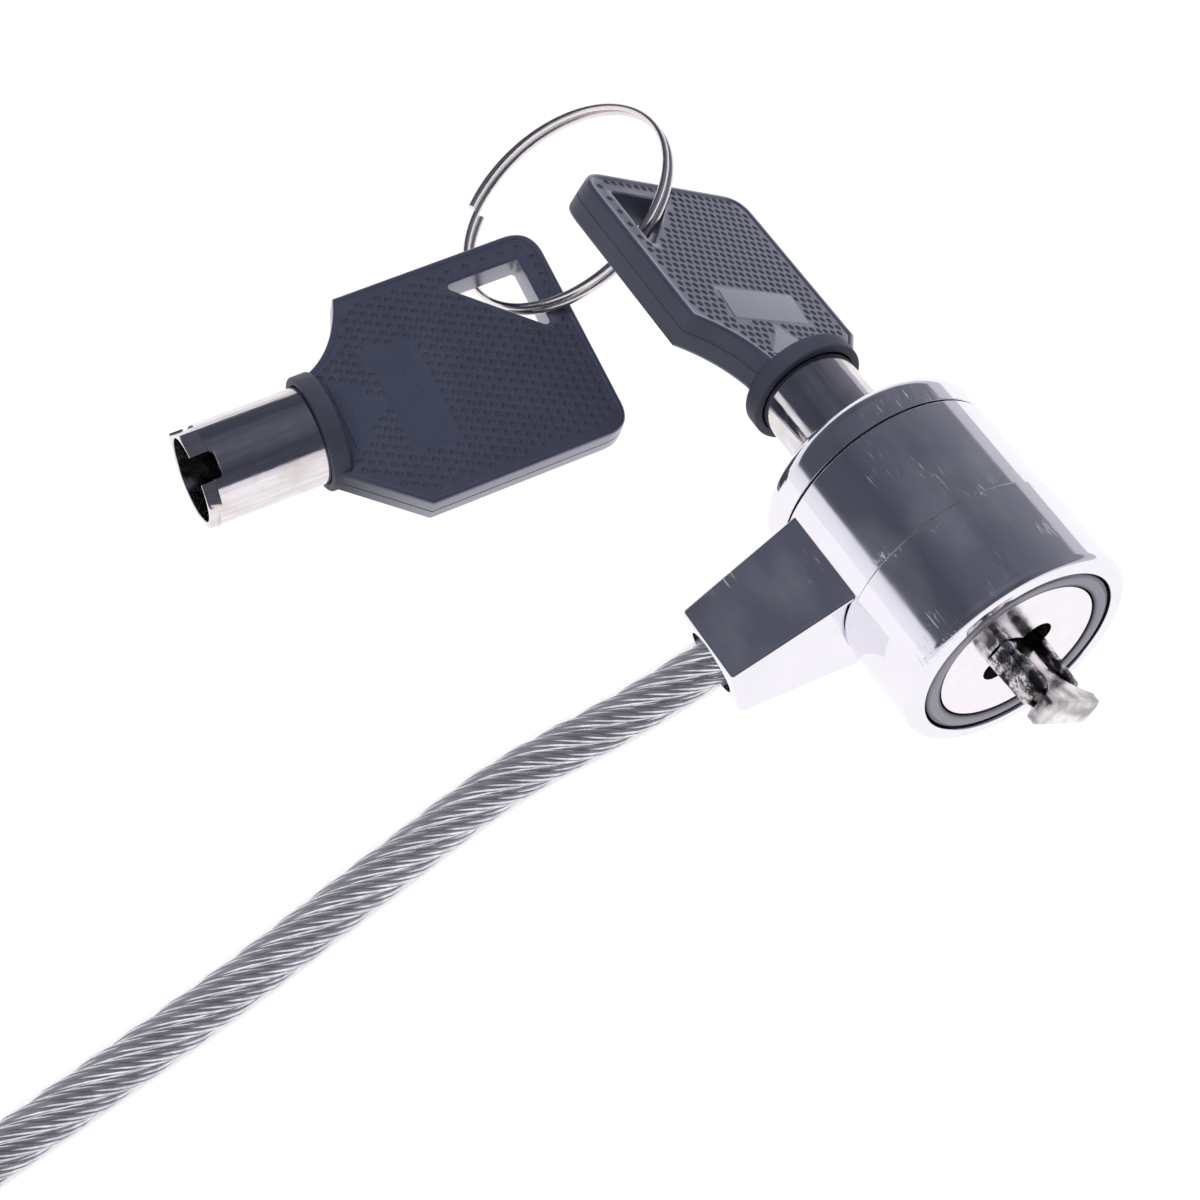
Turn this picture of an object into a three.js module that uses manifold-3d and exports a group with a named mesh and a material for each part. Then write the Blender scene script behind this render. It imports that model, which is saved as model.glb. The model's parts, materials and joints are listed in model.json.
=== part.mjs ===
// Laptop cable lock with a tubular key in its cylinder, a spare key on a split ring,
// and a coiled steel security cable that ends in a loop.
//
// Units are millimetres, +Z is up. The lock's own axis is the X axis: the locking bar
// points along +X and its flat tip is the origin, the keys are on the -X side, and the
// cable leaves the swivel collar towards -Y. Everything rests on the plane z = tableZ.

import * as THREE from 'three';
import Module from 'manifold-3d';
import { mergeVertices } from 'three/addons/utils/BufferGeometryUtils.js';

const wasm = await Module();
wasm.setup();

// ---------------------------------------------------------------- driving dimensions

const degrees = Math.PI / 180;
const gap = 0.3;                    // clearance left around cut and turned pieces
const slip = 0.15;                  // clearance between pieces that turn or slide on each other

const bodyRadius = 10.75;           // nose shell, the widest part of the lock
const collarRadius = 10.55;
const tableZ = -bodyRadius;

const noseFrontX = -6.8;            // stations along the lock's axis, measured from the bar's tip
const noseRearX = -16.0;
const collarFrontX = noseRearX - slip;
const collarRearX = -26.15;
const capFrontX = collarRearX - 0.25;
const capRearX = -30.2;
const capWall = 0.8;
const capRadius = bodyRadius - 0.25;
const noseBore = 9.15;              // the recess in the nose that the ring and the face plate fill
const faceRingBore = 7.6;
const facePlateBore = 3.35;

const housingRadius = 8.4;          // core housing that everything else is pressed on
const housingBore = 6.4;
const housingFrontX = -10.6;
const housingRearX = capRearX + capWall + 0.2;

const headRoll = -35.5 * degrees;   // how far the bar, the fork and the key are rolled about X
const quarterTurnNotch = 90 * degrees;

const keyEntry = 2.7;               // how far the key's barrel goes into the cap
const keyBarrelLength = 11.5;
const keyBarrelRadius = 4.6;
const keyBarrelBore = 3.95;
const keyTipX = capRearX + keyEntry;
const keyShoulderX = keyTipX - keyBarrelLength;
const keyPostRadius = 3.65;
const keyWayRadius = 4.9;
const lugRadius = 5.7;              // the small lug on the key's tip that the cap holds back
const lugLength = 1.75;
const lugWidth = 1.7;
const lugAngle = 205 * degrees;     // places of the lug and the drive slot round the key
const driveSlotAngle = 77 * degrees;
const driveSlotDepth = 2.1;
const driveSlotWidth = 2.6;

const pinCount = 7;
const pinCircle = 4.95;
const pinRadius = 0.58;
const pinHoleRadius = 0.86;
const bittingDepths = [0.9, 1.2, 1.7, 1.7, 0.3, 1.4, 0.6];
const bittingFlat = 4.22;           // distance of the key's cut flats from its axis
const rotorRadius = 6.1;
const rotorBore = 1.35;
const rotorRearX = keyTipX + 0.35;
const shearX = -21.6;               // plane between the turning rotor and the fixed stator
const statorFrontX = -16.8;
const crossHoleRadius = 0.75;       // holes for the stator's pin; the pin is thinner

const armX = (collarFrontX + collarRearX) / 2;
const armDroop = 12.2 * degrees;    // the arm leans this far below the horizontal
const armLength = 21.1;
const armRoot = { width: 9.8, height: 11.5, at: 7.5 };
const armEnd = { width: 7.9, height: 6.2 };

const sleeveRadius = 2.3;
const sleeveBore = 2.12;
const ropeRadius = 1.7;
const anchorRadius = 3.1;
const cableStart = 14.2;            // distance of the cable's inner end from the lock's axis
const anchorRear = 12.6;
const anchorFront = 17.6;
const cableZ = tableZ + sleeveRadius;

const coilCentre = new THREE.Vector2(-67.3, -135);
const coilRadius = 62;
const coilPitch = 5.6;
const coilTurns = 2.86;
const coilStart = 9.8 * degrees;
const loopRadius = 18;
const loopLegSpacing = 2.75;
const crimpLength = 12;
const crimpLift = 1.1;              // the crimp is thicker than the cable, so it lifts it

const keyHead = { length: 27.2, halfWidth: 10.95, thickness: 3.6, shoulder: 7 };
const keyCollarRadius = 5.45;
const keyCollarLength = 1.9;
const keySocketDepth = 0.9;         // how far the barrel is moulded into the head
const eyelet = { far: 24.7, near: 16.9, side: 8.4, inner: 0.9 };

const spareKeyPlace = new THREE.Vector3(-60.5, -38.8, -5.15);
const spareKeyTurn = new THREE.Euler(17.5 * degrees, 1.4 * degrees, 88.1 * degrees, 'ZYX');

const ringRadius = 11.27;
const ringWire = 0.34;
const ringPitch = 0.85;
const ringCentre = new THREE.Vector3(-70.05, -7.1, -0.98);
const ringTurn = new THREE.Euler(0, 32.4 * degrees, -119.3 * degrees, 'ZYX');
const ringEndAngle = -25 * degrees;

// ---------------------------------------------------------------- materials

const finishes = {
  chrome: new THREE.MeshStandardMaterial({ color: 0xd7d8e0, roughness: 0.12, metalness: 1 }),
  steel: new THREE.MeshStandardMaterial({ color: 0xb4b2ae, roughness: 0.35, metalness: 1 }),
  brass: new THREE.MeshStandardMaterial({ color: 0xc9a35a, roughness: 0.35, metalness: 1 }),
  nickel: new THREE.MeshStandardMaterial({ color: 0xc8c2b8, roughness: 0.25, metalness: 1 }),
  rubber: new THREE.MeshStandardMaterial({ color: 0x3c3b44, roughness: 0.6, metalness: 0 }),
  plastic: new THREE.MeshStandardMaterial({ color: 0x30333f, roughness: 0.5, metalness: 0 }),
  vinyl: new THREE.MeshStandardMaterial({
    color: 0xdfe2ea, roughness: 0.2, metalness: 0, transparent: true, opacity: 0.35,
  }),
};

// ---------------------------------------------------------------- solid helpers

function signedVolume(position, triangles) {
  const [a, b, c] = [new THREE.Vector3(), new THREE.Vector3(), new THREE.Vector3()];
  let volume = 0;
  for (let i = 0; i < triangles.length; i += 3) {
    a.fromBufferAttribute(position, triangles[i]);
    b.fromBufferAttribute(position, triangles[i + 1]);
    c.fromBufferAttribute(position, triangles[i + 2]);
    volume += a.dot(b.cross(c));
  }
  return volume;
}

// A closed manifold solid from any closed three.js geometry, with its faces pointing out.
function solid(geometry) {
  const bare = geometry.clone();
  bare.deleteAttribute('normal');
  bare.deleteAttribute('uv');
  const merged = mergeVertices(bare, 1e-4);
  const { position } = merged.attributes;
  const triangles = [];
  for (let i = 0; i < merged.index.count; i += 3) {
    const [a, b, c] = [0, 1, 2].map((k) => merged.index.getX(i + k));
    if (a !== b && b !== c && c !== a) triangles.push(a, b, c);
  }
  if (signedVolume(position, triangles) < 0) triangles.reverse();
  return new wasm.Manifold(new wasm.Mesh({
    numProp: 3,
    vertProperties: new Float32Array(position.array),
    triVerts: new Uint32Array(triangles),
  }));
}

function geometryOf(manifold) {
  const { vertProperties, triVerts } = manifold.getMesh();
  const geometry = new THREE.BufferGeometry();
  geometry.setAttribute('position', new THREE.BufferAttribute(vertProperties, 3));
  geometry.setIndex(new THREE.BufferAttribute(triVerts, 1));
  geometry.computeVertexNormals();
  return geometry;
}

function piece(name, manifold, finish) {
  const mesh = new THREE.Mesh(geometryOf(manifold), finishes[finish]);
  mesh.name = name;
  return mesh;
}

// A profile of [x, radius] stations turned about the X axis. It closes on itself.
function turned(stations, segments = 32) {
  const profile = stations.map(([x, radius]) => new THREE.Vector2(radius, x));
  profile.push(profile[0].clone());
  return solid(new THREE.LatheGeometry(profile, segments).rotateZ(-Math.PI / 2));
}

// A plain tube or disc about the X axis, from one station to another.
function tube(fromX, toX, outer, inner, segments = 32) {
  return turned([[fromX, inner], [toX, inner], [toX, outer], [fromX, outer]], segments);
}

// A rod along X, at a distance from the axis and an angle round it (0 is +Y, 90 degrees is +Z).
function rodAlongX(fromX, toX, radius, distance = 0, angle = 0, segments = 10) {
  const rod = new THREE.CylinderGeometry(radius, radius, toX - fromX, segments);
  rod.rotateZ(-Math.PI / 2);
  rod.translate((fromX + toX) / 2, distance * Math.cos(angle), distance * Math.sin(angle));
  return solid(rod);
}

// A block whose long side points away from the X axis at an angle, from one radius to another.
function radialBlock(fromX, toX, fromRadius, toRadius, width, angle) {
  const block = new THREE.BoxGeometry(toX - fromX, toRadius - fromRadius, width);
  block.translate((fromX + toX) / 2, (fromRadius + toRadius) / 2, 0);
  return solid(block.rotateX(angle));
}

function radialRod(x, fromRadius, toRadius, radius, angle) {
  const rod = new THREE.CylinderGeometry(radius, radius, toRadius - fromRadius, 12);
  rod.translate(x, (fromRadius + toRadius) / 2, 0);
  return solid(rod.rotateX(angle));
}

function circleShape(radius, segments) {
  const shape = new THREE.Shape();
  for (let i = 0; i < segments; i += 1) {
    const turn = (i / segments) * 2 * Math.PI;
    shape[i ? 'lineTo' : 'moveTo'](radius * Math.cos(turn), radius * Math.sin(turn));
  }
  return shape;
}

// A round bar swept along a curve, hollow if it has a bore.
function swept(curve, steps, radius, segments, bore = 0) {
  const shape = circleShape(radius, segments);
  if (bore) shape.holes.push(circleShape(bore, segments));
  return solid(new THREE.ExtrudeGeometry(shape, { steps, bevelEnabled: false, extrudePath: curve }));
}

class Helix extends THREE.Curve {
  constructor(radius, pitch, turns, startAngle = 0) {
    super();
    Object.assign(this, { radius, pitch, turns, startAngle });
  }

  getPoint(t, target = new THREE.Vector3()) {
    const turn = this.startAngle + t * this.turns * 2 * Math.PI;
    const rise = (t - 0.5) * this.turns * this.pitch;
    return target.set(this.radius * Math.cos(turn), this.radius * Math.sin(turn), rise);
  }
}

const pinAngles = Array.from({ length: pinCount }, (_, i) => headRoll + (i / pinCount) * 2 * Math.PI);

// ---------------------------------------------------------------- lock body

function noseShell() {
  const edge = 0.8;
  const corner = edge * (1 - Math.SQRT1_2);
  return turned([
    [noseFrontX, bodyRadius - edge],
    [noseFrontX - corner, bodyRadius - corner],
    [noseFrontX - edge, bodyRadius],
    [noseRearX, bodyRadius],
    [noseRearX, housingRadius + 0.1],
    [noseFrontX - 3.9, housingRadius + 0.1],
    [noseFrontX - 2.1, noseBore],
    [noseFrontX, noseBore],
  ], 40);
}

// A ring with a slightly raised middle, so that its front is a flat between two bevels.
function faceRing() {
  const rearX = noseFrontX - 1.6;
  const outer = noseBore - 0.2;
  return turned([
    [rearX, faceRingBore],
    [noseFrontX - 0.2, faceRingBore],
    [noseFrontX - 0.1, faceRingBore + 0.3],
    [noseFrontX - 0.1, outer - 0.35],
    [noseFrontX - 0.3, outer],
    [rearX, outer],
  ], 40);
}

const plateFrontX = noseFrontX - 0.3;
const plateRearX = plateFrontX - 0.9;
const facePlate = () => tube(plateRearX, plateFrontX, faceRingBore - slip, facePlateBore, 40);

// Two prongs stand out through the face plate, one on each side of the locking bar's shaft.
const prongTipX = -2.0;
const forkFrontX = plateRearX - slip;
const forkRearX = forkFrontX - 1.5;
const forkBore = 1.72;

function prong(side) {
  const rootX = forkRearX + 0.2;
  const outerRoot = 3.2;
  const outerTip = 2.85;
  const halfWidth = 1.45;
  const outline = new THREE.Shape();
  outline.moveTo(rootX, forkBore);
  outline.lineTo(prongTipX, forkBore);
  outline.lineTo(prongTipX, outerTip);
  outline.lineTo(plateFrontX, outerRoot);
  outline.lineTo(rootX, outerRoot);
  const bar = new THREE.ExtrudeGeometry(outline, { depth: 2 * halfWidth, bevelEnabled: false });
  bar.translate(0, 0, -halfWidth);
  const opening = rodAlongX(forkRearX, prongTipX, facePlateBore - 0.1, 0, 0, 32);
  return solid(bar.rotateX(side * Math.PI)).intersect(opening);
}

// The fork's stepped base sits behind the face plate and inside the face ring.
function guideFork() {
  const stepX = forkFrontX - 0.5;
  const base = turned([
    [forkRearX, forkBore],
    [forkFrontX, forkBore],
    [forkFrontX, faceRingBore - 0.4],
    [stepX, faceRingBore - 0.4],
    [stepX, housingRadius - gap],
    [forkRearX, housingRadius - gap],
  ]);
  const fork = base.add(prong(0)).add(prong(1));
  return fork.rotate([headRoll / degrees, 0, 0]);
}

function coreHousing() {
  const pinHole = radialRod(statorPinX, housingBore - 1, housingRadius + 1, crossHoleRadius, Math.PI / 2);
  return tube(housingRearX, housingFrontX, housingRadius, housingBore, 40).subtract(pinHole);
}

// The cap's rim is rounded in three steps. Its two notches let the key's lug in and out.
function rearCap() {
  const inner = housingRadius + slip;
  const wall = turned([
    [capFrontX, inner],
    [capFrontX, capRadius],
    [capRearX + 2.0, capRadius],
    [capRearX + 0.9, capRadius - 0.25],
    [capRearX + 0.35, capRadius - 0.75],
    [capRearX, capRadius - 1.3],
    [capRearX, keyWayRadius],
    [capRearX + capWall, keyWayRadius],
    [capRearX + capWall, inner],
  ], 40);
  const notchWidth = lugWidth + 0.5;
  const notches = [0, quarterTurnNotch].map((turn) => radialBlock(
    capRearX - 1, capRearX + capWall + 0.5, keyWayRadius - 0.6, lugRadius + gap, notchWidth,
    keyAngle(lugAngle) + turn,
  ));
  return wall.subtract(notches[0].add(notches[1]));
}

const washerRadius = collarRadius - 0.5;
const seamWasher = () => tube(
  capFrontX + 0.05, collarRearX - 0.05, washerRadius, housingRadius + slip,
);

const statorRearX = shearX + slip;
const statorPinX = (statorRearX + statorFrontX) / 2 + 1.2;
const springSeatX = statorFrontX - 0.6;

function stator() {
  let block = tube(statorRearX, statorFrontX, rotorRadius, spindleRadius + gap);
  for (const angle of pinAngles) {
    block = block.subtract(rodAlongX(statorRearX - 1, springSeatX, pinHoleRadius, pinCircle, angle));
  }
  const pinSeat = radialRod(statorPinX, rotorRadius - 0.9, rotorRadius + 1, crossHoleRadius, Math.PI / 2);
  return block.subtract(pinSeat);
}

const statorPin = () => radialRod(
  statorPinX, rotorRadius - 0.65, housingRadius - 0.05, crossHoleRadius - 0.25, Math.PI / 2,
);

// ---------------------------------------------------------------- tumblers

const driverLength = 1.7;
const driverRearX = shearX + 0.06;

const driverPin = (angle) => rodAlongX(
  driverRearX, driverRearX + driverLength, pinRadius, pinCircle, angle, 8,
);

function pinSpring(angle) {
  const fromX = driverRearX + driverLength + slip;
  const toX = springSeatX - slip;
  const wire = 0.13;
  const turns = 3;
  const coil = new Helix(pinRadius - wire, (toX - fromX - 2 * wire) / turns, turns);
  const spring = swept(coil, 20, wire, 4).rotate([0, 90, 0]);
  return spring.translate([(fromX + toX) / 2, pinCircle * Math.cos(angle), pinCircle * Math.sin(angle)]);
}

// Each key pin ends just in front of its cut in the key's tip, so a deeper cut has a longer pin.
const keyPin = (angle, i) => rodAlongX(
  keyTipX - bittingDepths[i] + 0.12, shearX - 0.06, pinRadius, pinCircle, angle, 8,
);

// ---------------------------------------------------------------- rotor and locking bar

const rotorFrontX = shearX - slip;
const spindleRadius = 2.05;
const spindleFrontX = -13.7;
const squareHalf = 1.3;

function rotor() {
  const disc = tube(rotorRearX, rotorFrontX, rotorRadius, rotorBore);
  const post = tube(capRearX + 0.3, rotorRearX + 0.5, keyPostRadius, rotorBore, 24);
  const driveLug = radialBlock(
    keyTipX - driveSlotDepth + gap, rotorRearX + 0.5, keyPostRadius - 0.3, keyBarrelRadius,
    driveSlotWidth - 2 * gap, keyAngle(driveSlotAngle),
  );
  let body = disc.add(post).add(driveLug);
  for (const angle of pinAngles) {
    const bore = rodAlongX(rotorRearX - 1, rotorFrontX + 1, pinHoleRadius, pinCircle, angle);
    body = body.subtract(bore);
  }
  return body;
}

// The spindle holds rotor and stator together: a stem in the rotor, a shaft through the stator
// with a groove for the clip, and a square tang in the coupler.
function spindle() {
  const stemRadius = rotorBore - 0.25;
  const grooveRadius = 1.55;
  const tangRearX = spindleFrontX - 2.4;
  const stem = rodAlongX(capRearX + 1.2, shearX, stemRadius, 0, 0, 16);
  const shaft = rodAlongX(shearX, tangRearX + 0.2, spindleRadius, 0, 0, 20);
  const tang = squareBar(tangRearX, spindleFrontX, squareHalf);
  const clipGroove = tube(clipRearX - slip, clipFrontX + slip, spindleRadius + 1, grooveRadius, 20);
  return stem.add(shaft).add(tang).subtract(clipGroove);
}

function squareBar(fromX, toX, half) {
  const bar = new THREE.BoxGeometry(toX - fromX, 2 * half, 2 * half);
  bar.translate((fromX + toX) / 2, 0, 0);
  return solid(bar.rotateX(headRoll));
}

const thrustWasher = () => tube(
  statorFrontX + 0.1, statorFrontX + 0.4, 4.2, spindleRadius + slip, 24,
);

const clipRearX = statorFrontX + 0.5;
const clipFrontX = clipRearX + 0.4;

function retainingClip() {
  const radius = 3.5;
  const bore = 1.75;
  const mouthWidth = 2.6;
  const mouth = radialBlock(clipRearX - 1, clipFrontX + 1, 0, radius + 1, mouthWidth, headRoll);
  return tube(clipRearX, clipFrontX, radius, bore, 24).subtract(mouth);
}

const couplerFrontX = -11.9;
const couplerRadius = 3.1;
const couplerPinX = couplerFrontX - 0.95;
const couplerPinRadius = 0.42;

// The hole for the coupler's pin, wider than the pin, across the coupler and the bar's tail.
const couplerPinHole = () => radialRod(
  couplerPinX, -couplerRadius - 1, couplerRadius + 1, couplerPinRadius + 0.23, headRoll,
);

function driveCoupler() {
  const sleeve = rodAlongX(spindleFrontX - 2.0, couplerFrontX, couplerRadius, 0, 0, 24);
  const socket = squareBar(spindleFrontX - 3, couplerFrontX + 1, squareHalf + 0.2);
  return sleeve.subtract(socket).subtract(couplerPinHole());
}

const couplerPin = () => radialRod(
  couplerPinX, 0.2 - couplerRadius, couplerRadius - 0.2, couplerPinRadius, headRoll,
);

// The bar that enters the slot: a T-shaped head on a shaft, a flange behind the fork, and a
// square tail in the coupler.
const barHead = { halfLength: 3.45, halfWidth: 1.3, thickness: 1.7, edge: 1.1, corner: 0.35 };

function lockingBar() {
  const { halfLength, halfWidth, thickness, edge, corner } = barHead;
  const shaftRadius = 1.25;
  const outline = new THREE.Shape();
  outline.moveTo(0, halfLength - corner);
  outline.lineTo(0, corner - halfLength);
  outline.lineTo(-corner, -halfLength);
  outline.lineTo(-edge, -halfLength);
  outline.lineTo(-thickness, -shaftRadius);
  outline.lineTo(-thickness, shaftRadius);
  outline.lineTo(-edge, halfLength);
  outline.lineTo(-corner, halfLength);
  const head = new THREE.ExtrudeGeometry(outline, { depth: 2 * halfWidth, bevelEnabled: false });
  head.translate(0, 0, -halfWidth);
  const flangeRadius = 3.2;
  const flangeFrontX = forkRearX - 0.2;
  const shaft = rodAlongX(flangeFrontX - 0.4, -thickness + 0.4, shaftRadius, 0, 0, 20);
  const flange = rodAlongX(flangeFrontX - 1.05, flangeFrontX, flangeRadius, 0, 0, 24);
  const tail = squareBar(spindleFrontX + slip, flangeFrontX - 0.8, squareHalf - 0.1);
  const bar = solid(head.rotateX(headRoll)).add(shaft).add(flange).add(tail);
  return bar.subtract(couplerPinHole());
}

// ---------------------------------------------------------------- swivel collar and its arm

// The arm, along -Y: a bar whose rectangular section tapers from its root to its end.
function taperedArm() {
  const bar = new THREE.BoxGeometry(1, 1, 1);
  const { position } = bar.attributes;
  for (let i = 0; i < position.count; i += 1) {
    const isEnd = position.getY(i) < 0;
    const section = isEnd ? armEnd : armRoot;
    const x = position.getX(i) * section.width;
    const z = position.getZ(i) * section.height;
    position.setXYZ(i, x, isEnd ? -armLength : -armRoot.at, z);
  }
  return solid(bar);
}

function rodAlongArm(from, to, radius) {
  const rod = new THREE.CylinderGeometry(radius, radius, to - from, 20);
  return solid(rod.translate(0, -(from + to) / 2, 0));
}

// Moves a piece made along -Y to the arm's place and droop.
const onArm = (manifold) => manifold.rotate([armDroop / degrees, 0, 0]).translate([armX, 0, 0]);

function swivelCollar() {
  const fillet = 0.25;
  const barrel = turned([
    [collarFrontX, collarRadius - fillet],
    [collarFrontX - fillet, collarRadius],
    [collarRearX + fillet, collarRadius],
    [collarRearX, collarRadius - fillet],
    [collarRearX, housingRadius - 1],
    [collarFrontX, housingRadius - 1],
  ], 40);
  const cavity = rodAlongArm(0, anchorFront + gap, anchorRadius + gap);
  const exit = rodAlongArm(0, armLength + 1, sleeveRadius + gap);
  const bore = rodAlongX(collarRearX - 1, collarFrontX + 1, housingRadius + slip, 0, 0, 40);
  return barrel.add(onArm(taperedArm())).subtract(onArm(cavity.add(exit))).subtract(bore);
}

// ---------------------------------------------------------------- cable

function armPoint(distance) {
  return new THREE.Vector3(armX, -distance * Math.cos(armDroop), -distance * Math.sin(armDroop));
}

function coilPoint(turns) {
  const angle = coilStart - turns * 2 * Math.PI;
  const radius = coilRadius - turns * coilPitch;
  return new THREE.Vector3(
    coilCentre.x + radius * Math.cos(angle), coilCentre.y + radius * Math.sin(angle), cableZ,
  );
}

// The end loop is laid out in its own frame: u from the crimp to the loop, v across it.
const loopHeading = 208 * degrees;
const crimpPlace = new THREE.Vector2(coilCentre.x + 14, coilCentre.y + 2.7);
const loopCentreU = 36;
const entryTurn = { u: -11.1, v: -19.6, radius: 16.9 };   // the bend from the coil into the crimp

function loopPoint(u, v, lift = 0) {
  const [c, s] = [Math.cos(loopHeading), Math.sin(loopHeading)];
  return new THREE.Vector3(crimpPlace.x + u * c - v * s, crimpPlace.y + u * s + v * c, cableZ + lift);
}

function cablePath() {
  const points = [armPoint(cableStart), armPoint(armLength), armPoint(armLength + 8)];
  points.push(new THREE.Vector3(armX - 0.3, -40, cableZ + 0.35));
  points.push(new THREE.Vector3(armX + 2.2, -53, cableZ));
  points.push(new THREE.Vector3(armX + 5.6, -68, cableZ));
  points.push(new THREE.Vector3(armX + 9.2, -88, cableZ));
  points.push(new THREE.Vector3(armX + 12.8, -108, cableZ));
  const coilSteps = 36;
  for (let i = 0; i <= coilSteps; i += 1) points.push(coilPoint((i / coilSteps) * coilTurns));
  const half = crimpLength / 2;
  for (const turn of [172, 130, 96]) {
    const [u, v] = [Math.cos(turn * degrees), Math.sin(turn * degrees)];
    points.push(loopPoint(entryTurn.u + entryTurn.radius * u, entryTurn.v + entryTurn.radius * v));
  }
  for (const u of [-half - 1.5, 0, half + 1.5]) points.push(loopPoint(u, -loopLegSpacing, crimpLift));
  points.push(loopPoint(13.5, -4.3, crimpLift / 2), loopPoint(21.5, -10.6));
  for (const turn of [-110, -72, -36, 0, 36, 72, 110]) {
    const [u, v] = [Math.cos(turn * degrees), Math.sin(turn * degrees)];
    points.push(loopPoint(loopCentreU + loopRadius * u, loopRadius * v));
  }
  points.push(loopPoint(21.5, 10.6), loopPoint(13.5, 4.3, crimpLift / 2));
  for (const u of [half + 1.5, 0, -half - 1.5]) points.push(loopPoint(u, loopLegSpacing, crimpLift));
  return new THREE.CatmullRomCurve3(points, false, 'centripetal');
}

const cableSteps = 136;
const cableSleeve = () => swept(cablePath(), cableSteps, sleeveRadius, 8, sleeveBore);
const steelRope = () => swept(cablePath(), cableSteps, ropeRadius, 6);

function cableAnchor() {
  const plug = rodAlongArm(anchorRear, anchorFront, anchorRadius);
  const bore = rodAlongArm(cableStart - 0.1, anchorFront + 1, sleeveRadius + slip);
  return onArm(plug.subtract(bore));
}

function loopCrimp() {
  const wall = 0.75;
  const outline = new THREE.Shape();
  const radius = sleeveRadius + gap + wall;
  outline.absarc(loopLegSpacing, 0, radius, -Math.PI / 2, Math.PI / 2);
  outline.absarc(-loopLegSpacing, 0, radius, Math.PI / 2, (3 * Math.PI) / 2);
  for (const side of [-1, 1]) {
    const hole = new THREE.Path();
    hole.absarc(side * loopLegSpacing, 0, sleeveRadius + gap, 0, 2 * Math.PI);
    outline.holes.push(hole);
  }
  const crimp = new THREE.ExtrudeGeometry(outline, {
    depth: crimpLength, bevelEnabled: false, curveSegments: 10,
  });
  crimp.translate(0, 0, -crimpLength / 2);
  crimp.rotateX(Math.PI / 2).rotateZ(loopHeading - Math.PI / 2);
  crimp.translate(crimpPlace.x, crimpPlace.y, cableZ + crimpLift);
  return solid(crimp);
}

// ---------------------------------------------------------------- keys

// Keys are modelled with the collar's front face at the origin, the head towards +X, the
// barrel towards -X, the eyelet on the +Y side and the face towards +Z.
//
// From the collar to its shoulders the head's outline is straight on the -Y side and hollow on
// the +Y side.
function keyHeadOutline() {
  const { length, halfWidth, shoulder } = keyHead;
  const round = 2.6;
  const eyeletRound = 3.0;
  const straightNeck = { x: 0.5, y: -5.2 };
  const hollowNeck = { x: 0.6, y: 4.6 };
  const hollowBend = { x: 5.0, y: 5.6 };
  const outline = new THREE.Shape();
  outline.moveTo(straightNeck.x, straightNeck.y);
  outline.lineTo(shoulder, -halfWidth);
  outline.lineTo(length - round, -halfWidth);
  outline.quadraticCurveTo(length, -halfWidth, length, -halfWidth + round);
  outline.lineTo(length, halfWidth - eyeletRound);
  outline.quadraticCurveTo(length, halfWidth, length - eyeletRound, halfWidth);
  outline.lineTo(shoulder, halfWidth);
  outline.quadraticCurveTo(hollowBend.x, hollowBend.y, hollowNeck.x, hollowNeck.y);
  const hole = new THREE.Path();
  hole.moveTo(eyelet.near, eyelet.side);
  hole.lineTo(eyelet.far, eyelet.side);
  hole.lineTo(eyelet.far, eyelet.inner);
  outline.holes.push(hole);
  return outline;
}

function keyHeadSolid() {
  const flat = new THREE.ExtrudeGeometry(keyHeadOutline(), {
    depth: keyHead.thickness, bevelEnabled: false, curveSegments: 5,
  });
  const plate = solid(flat.translate(0, 0, -keyHead.thickness / 2));
  const collar = rodAlongX(0, keyCollarLength, keyCollarRadius, 0, 0, 32);
  const socket = rodAlongX(-1, keySocketDepth, keyBarrelRadius + 0.1, 0, 0, 32);
  return plate.add(collar).subtract(socket);
}

// A tube with a lug and a drive slot. Its tip is milled to a flat for each pin, and the pin
// rests on the flat's end.
function keyBarrelSolid() {
  const tip = -keyBarrelLength;
  const beyond = lugRadius + 0.5;
  const flatWidth = 2 * Math.sqrt(keyBarrelRadius ** 2 - bittingFlat ** 2);
  let barrel = tube(tip, keySocketDepth - 0.1, keyBarrelRadius, keyBarrelBore);
  const lug = radialBlock(
    tip, tip + lugLength, keyBarrelRadius - 0.3, lugRadius, lugWidth, localKeyAngle(lugAngle),
  );
  barrel = barrel.add(lug);
  const driveSlot = radialBlock(
    tip - 1, tip + driveSlotDepth, keyBarrelBore - 1, beyond, driveSlotWidth,
    localKeyAngle(driveSlotAngle),
  );
  barrel = barrel.subtract(driveSlot);
  pinAngles.forEach((angle, i) => {
    const flat = radialBlock(
      tip - 1, tip + bittingDepths[i], bittingFlat, beyond, flatWidth, localKeyAngle(angle - headRoll),
    );
    barrel = barrel.subtract(flat);
  });
  return barrel;
}

// Angles round the key, seen along +X of the lock with 0 at the roll of the bar's head, turned
// into the lock's frame and into the key's own frame, which points the other way along X.
function keyAngle(angle) {
  return headRoll + angle;
}

function localKeyAngle(angle) {
  return Math.PI - angle;
}

function splitRing() {
  return swept(new Helix(ringRadius, ringPitch, 2, ringEndAngle), 72, ringWire, 5);
}

// ---------------------------------------------------------------- assembly

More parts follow.
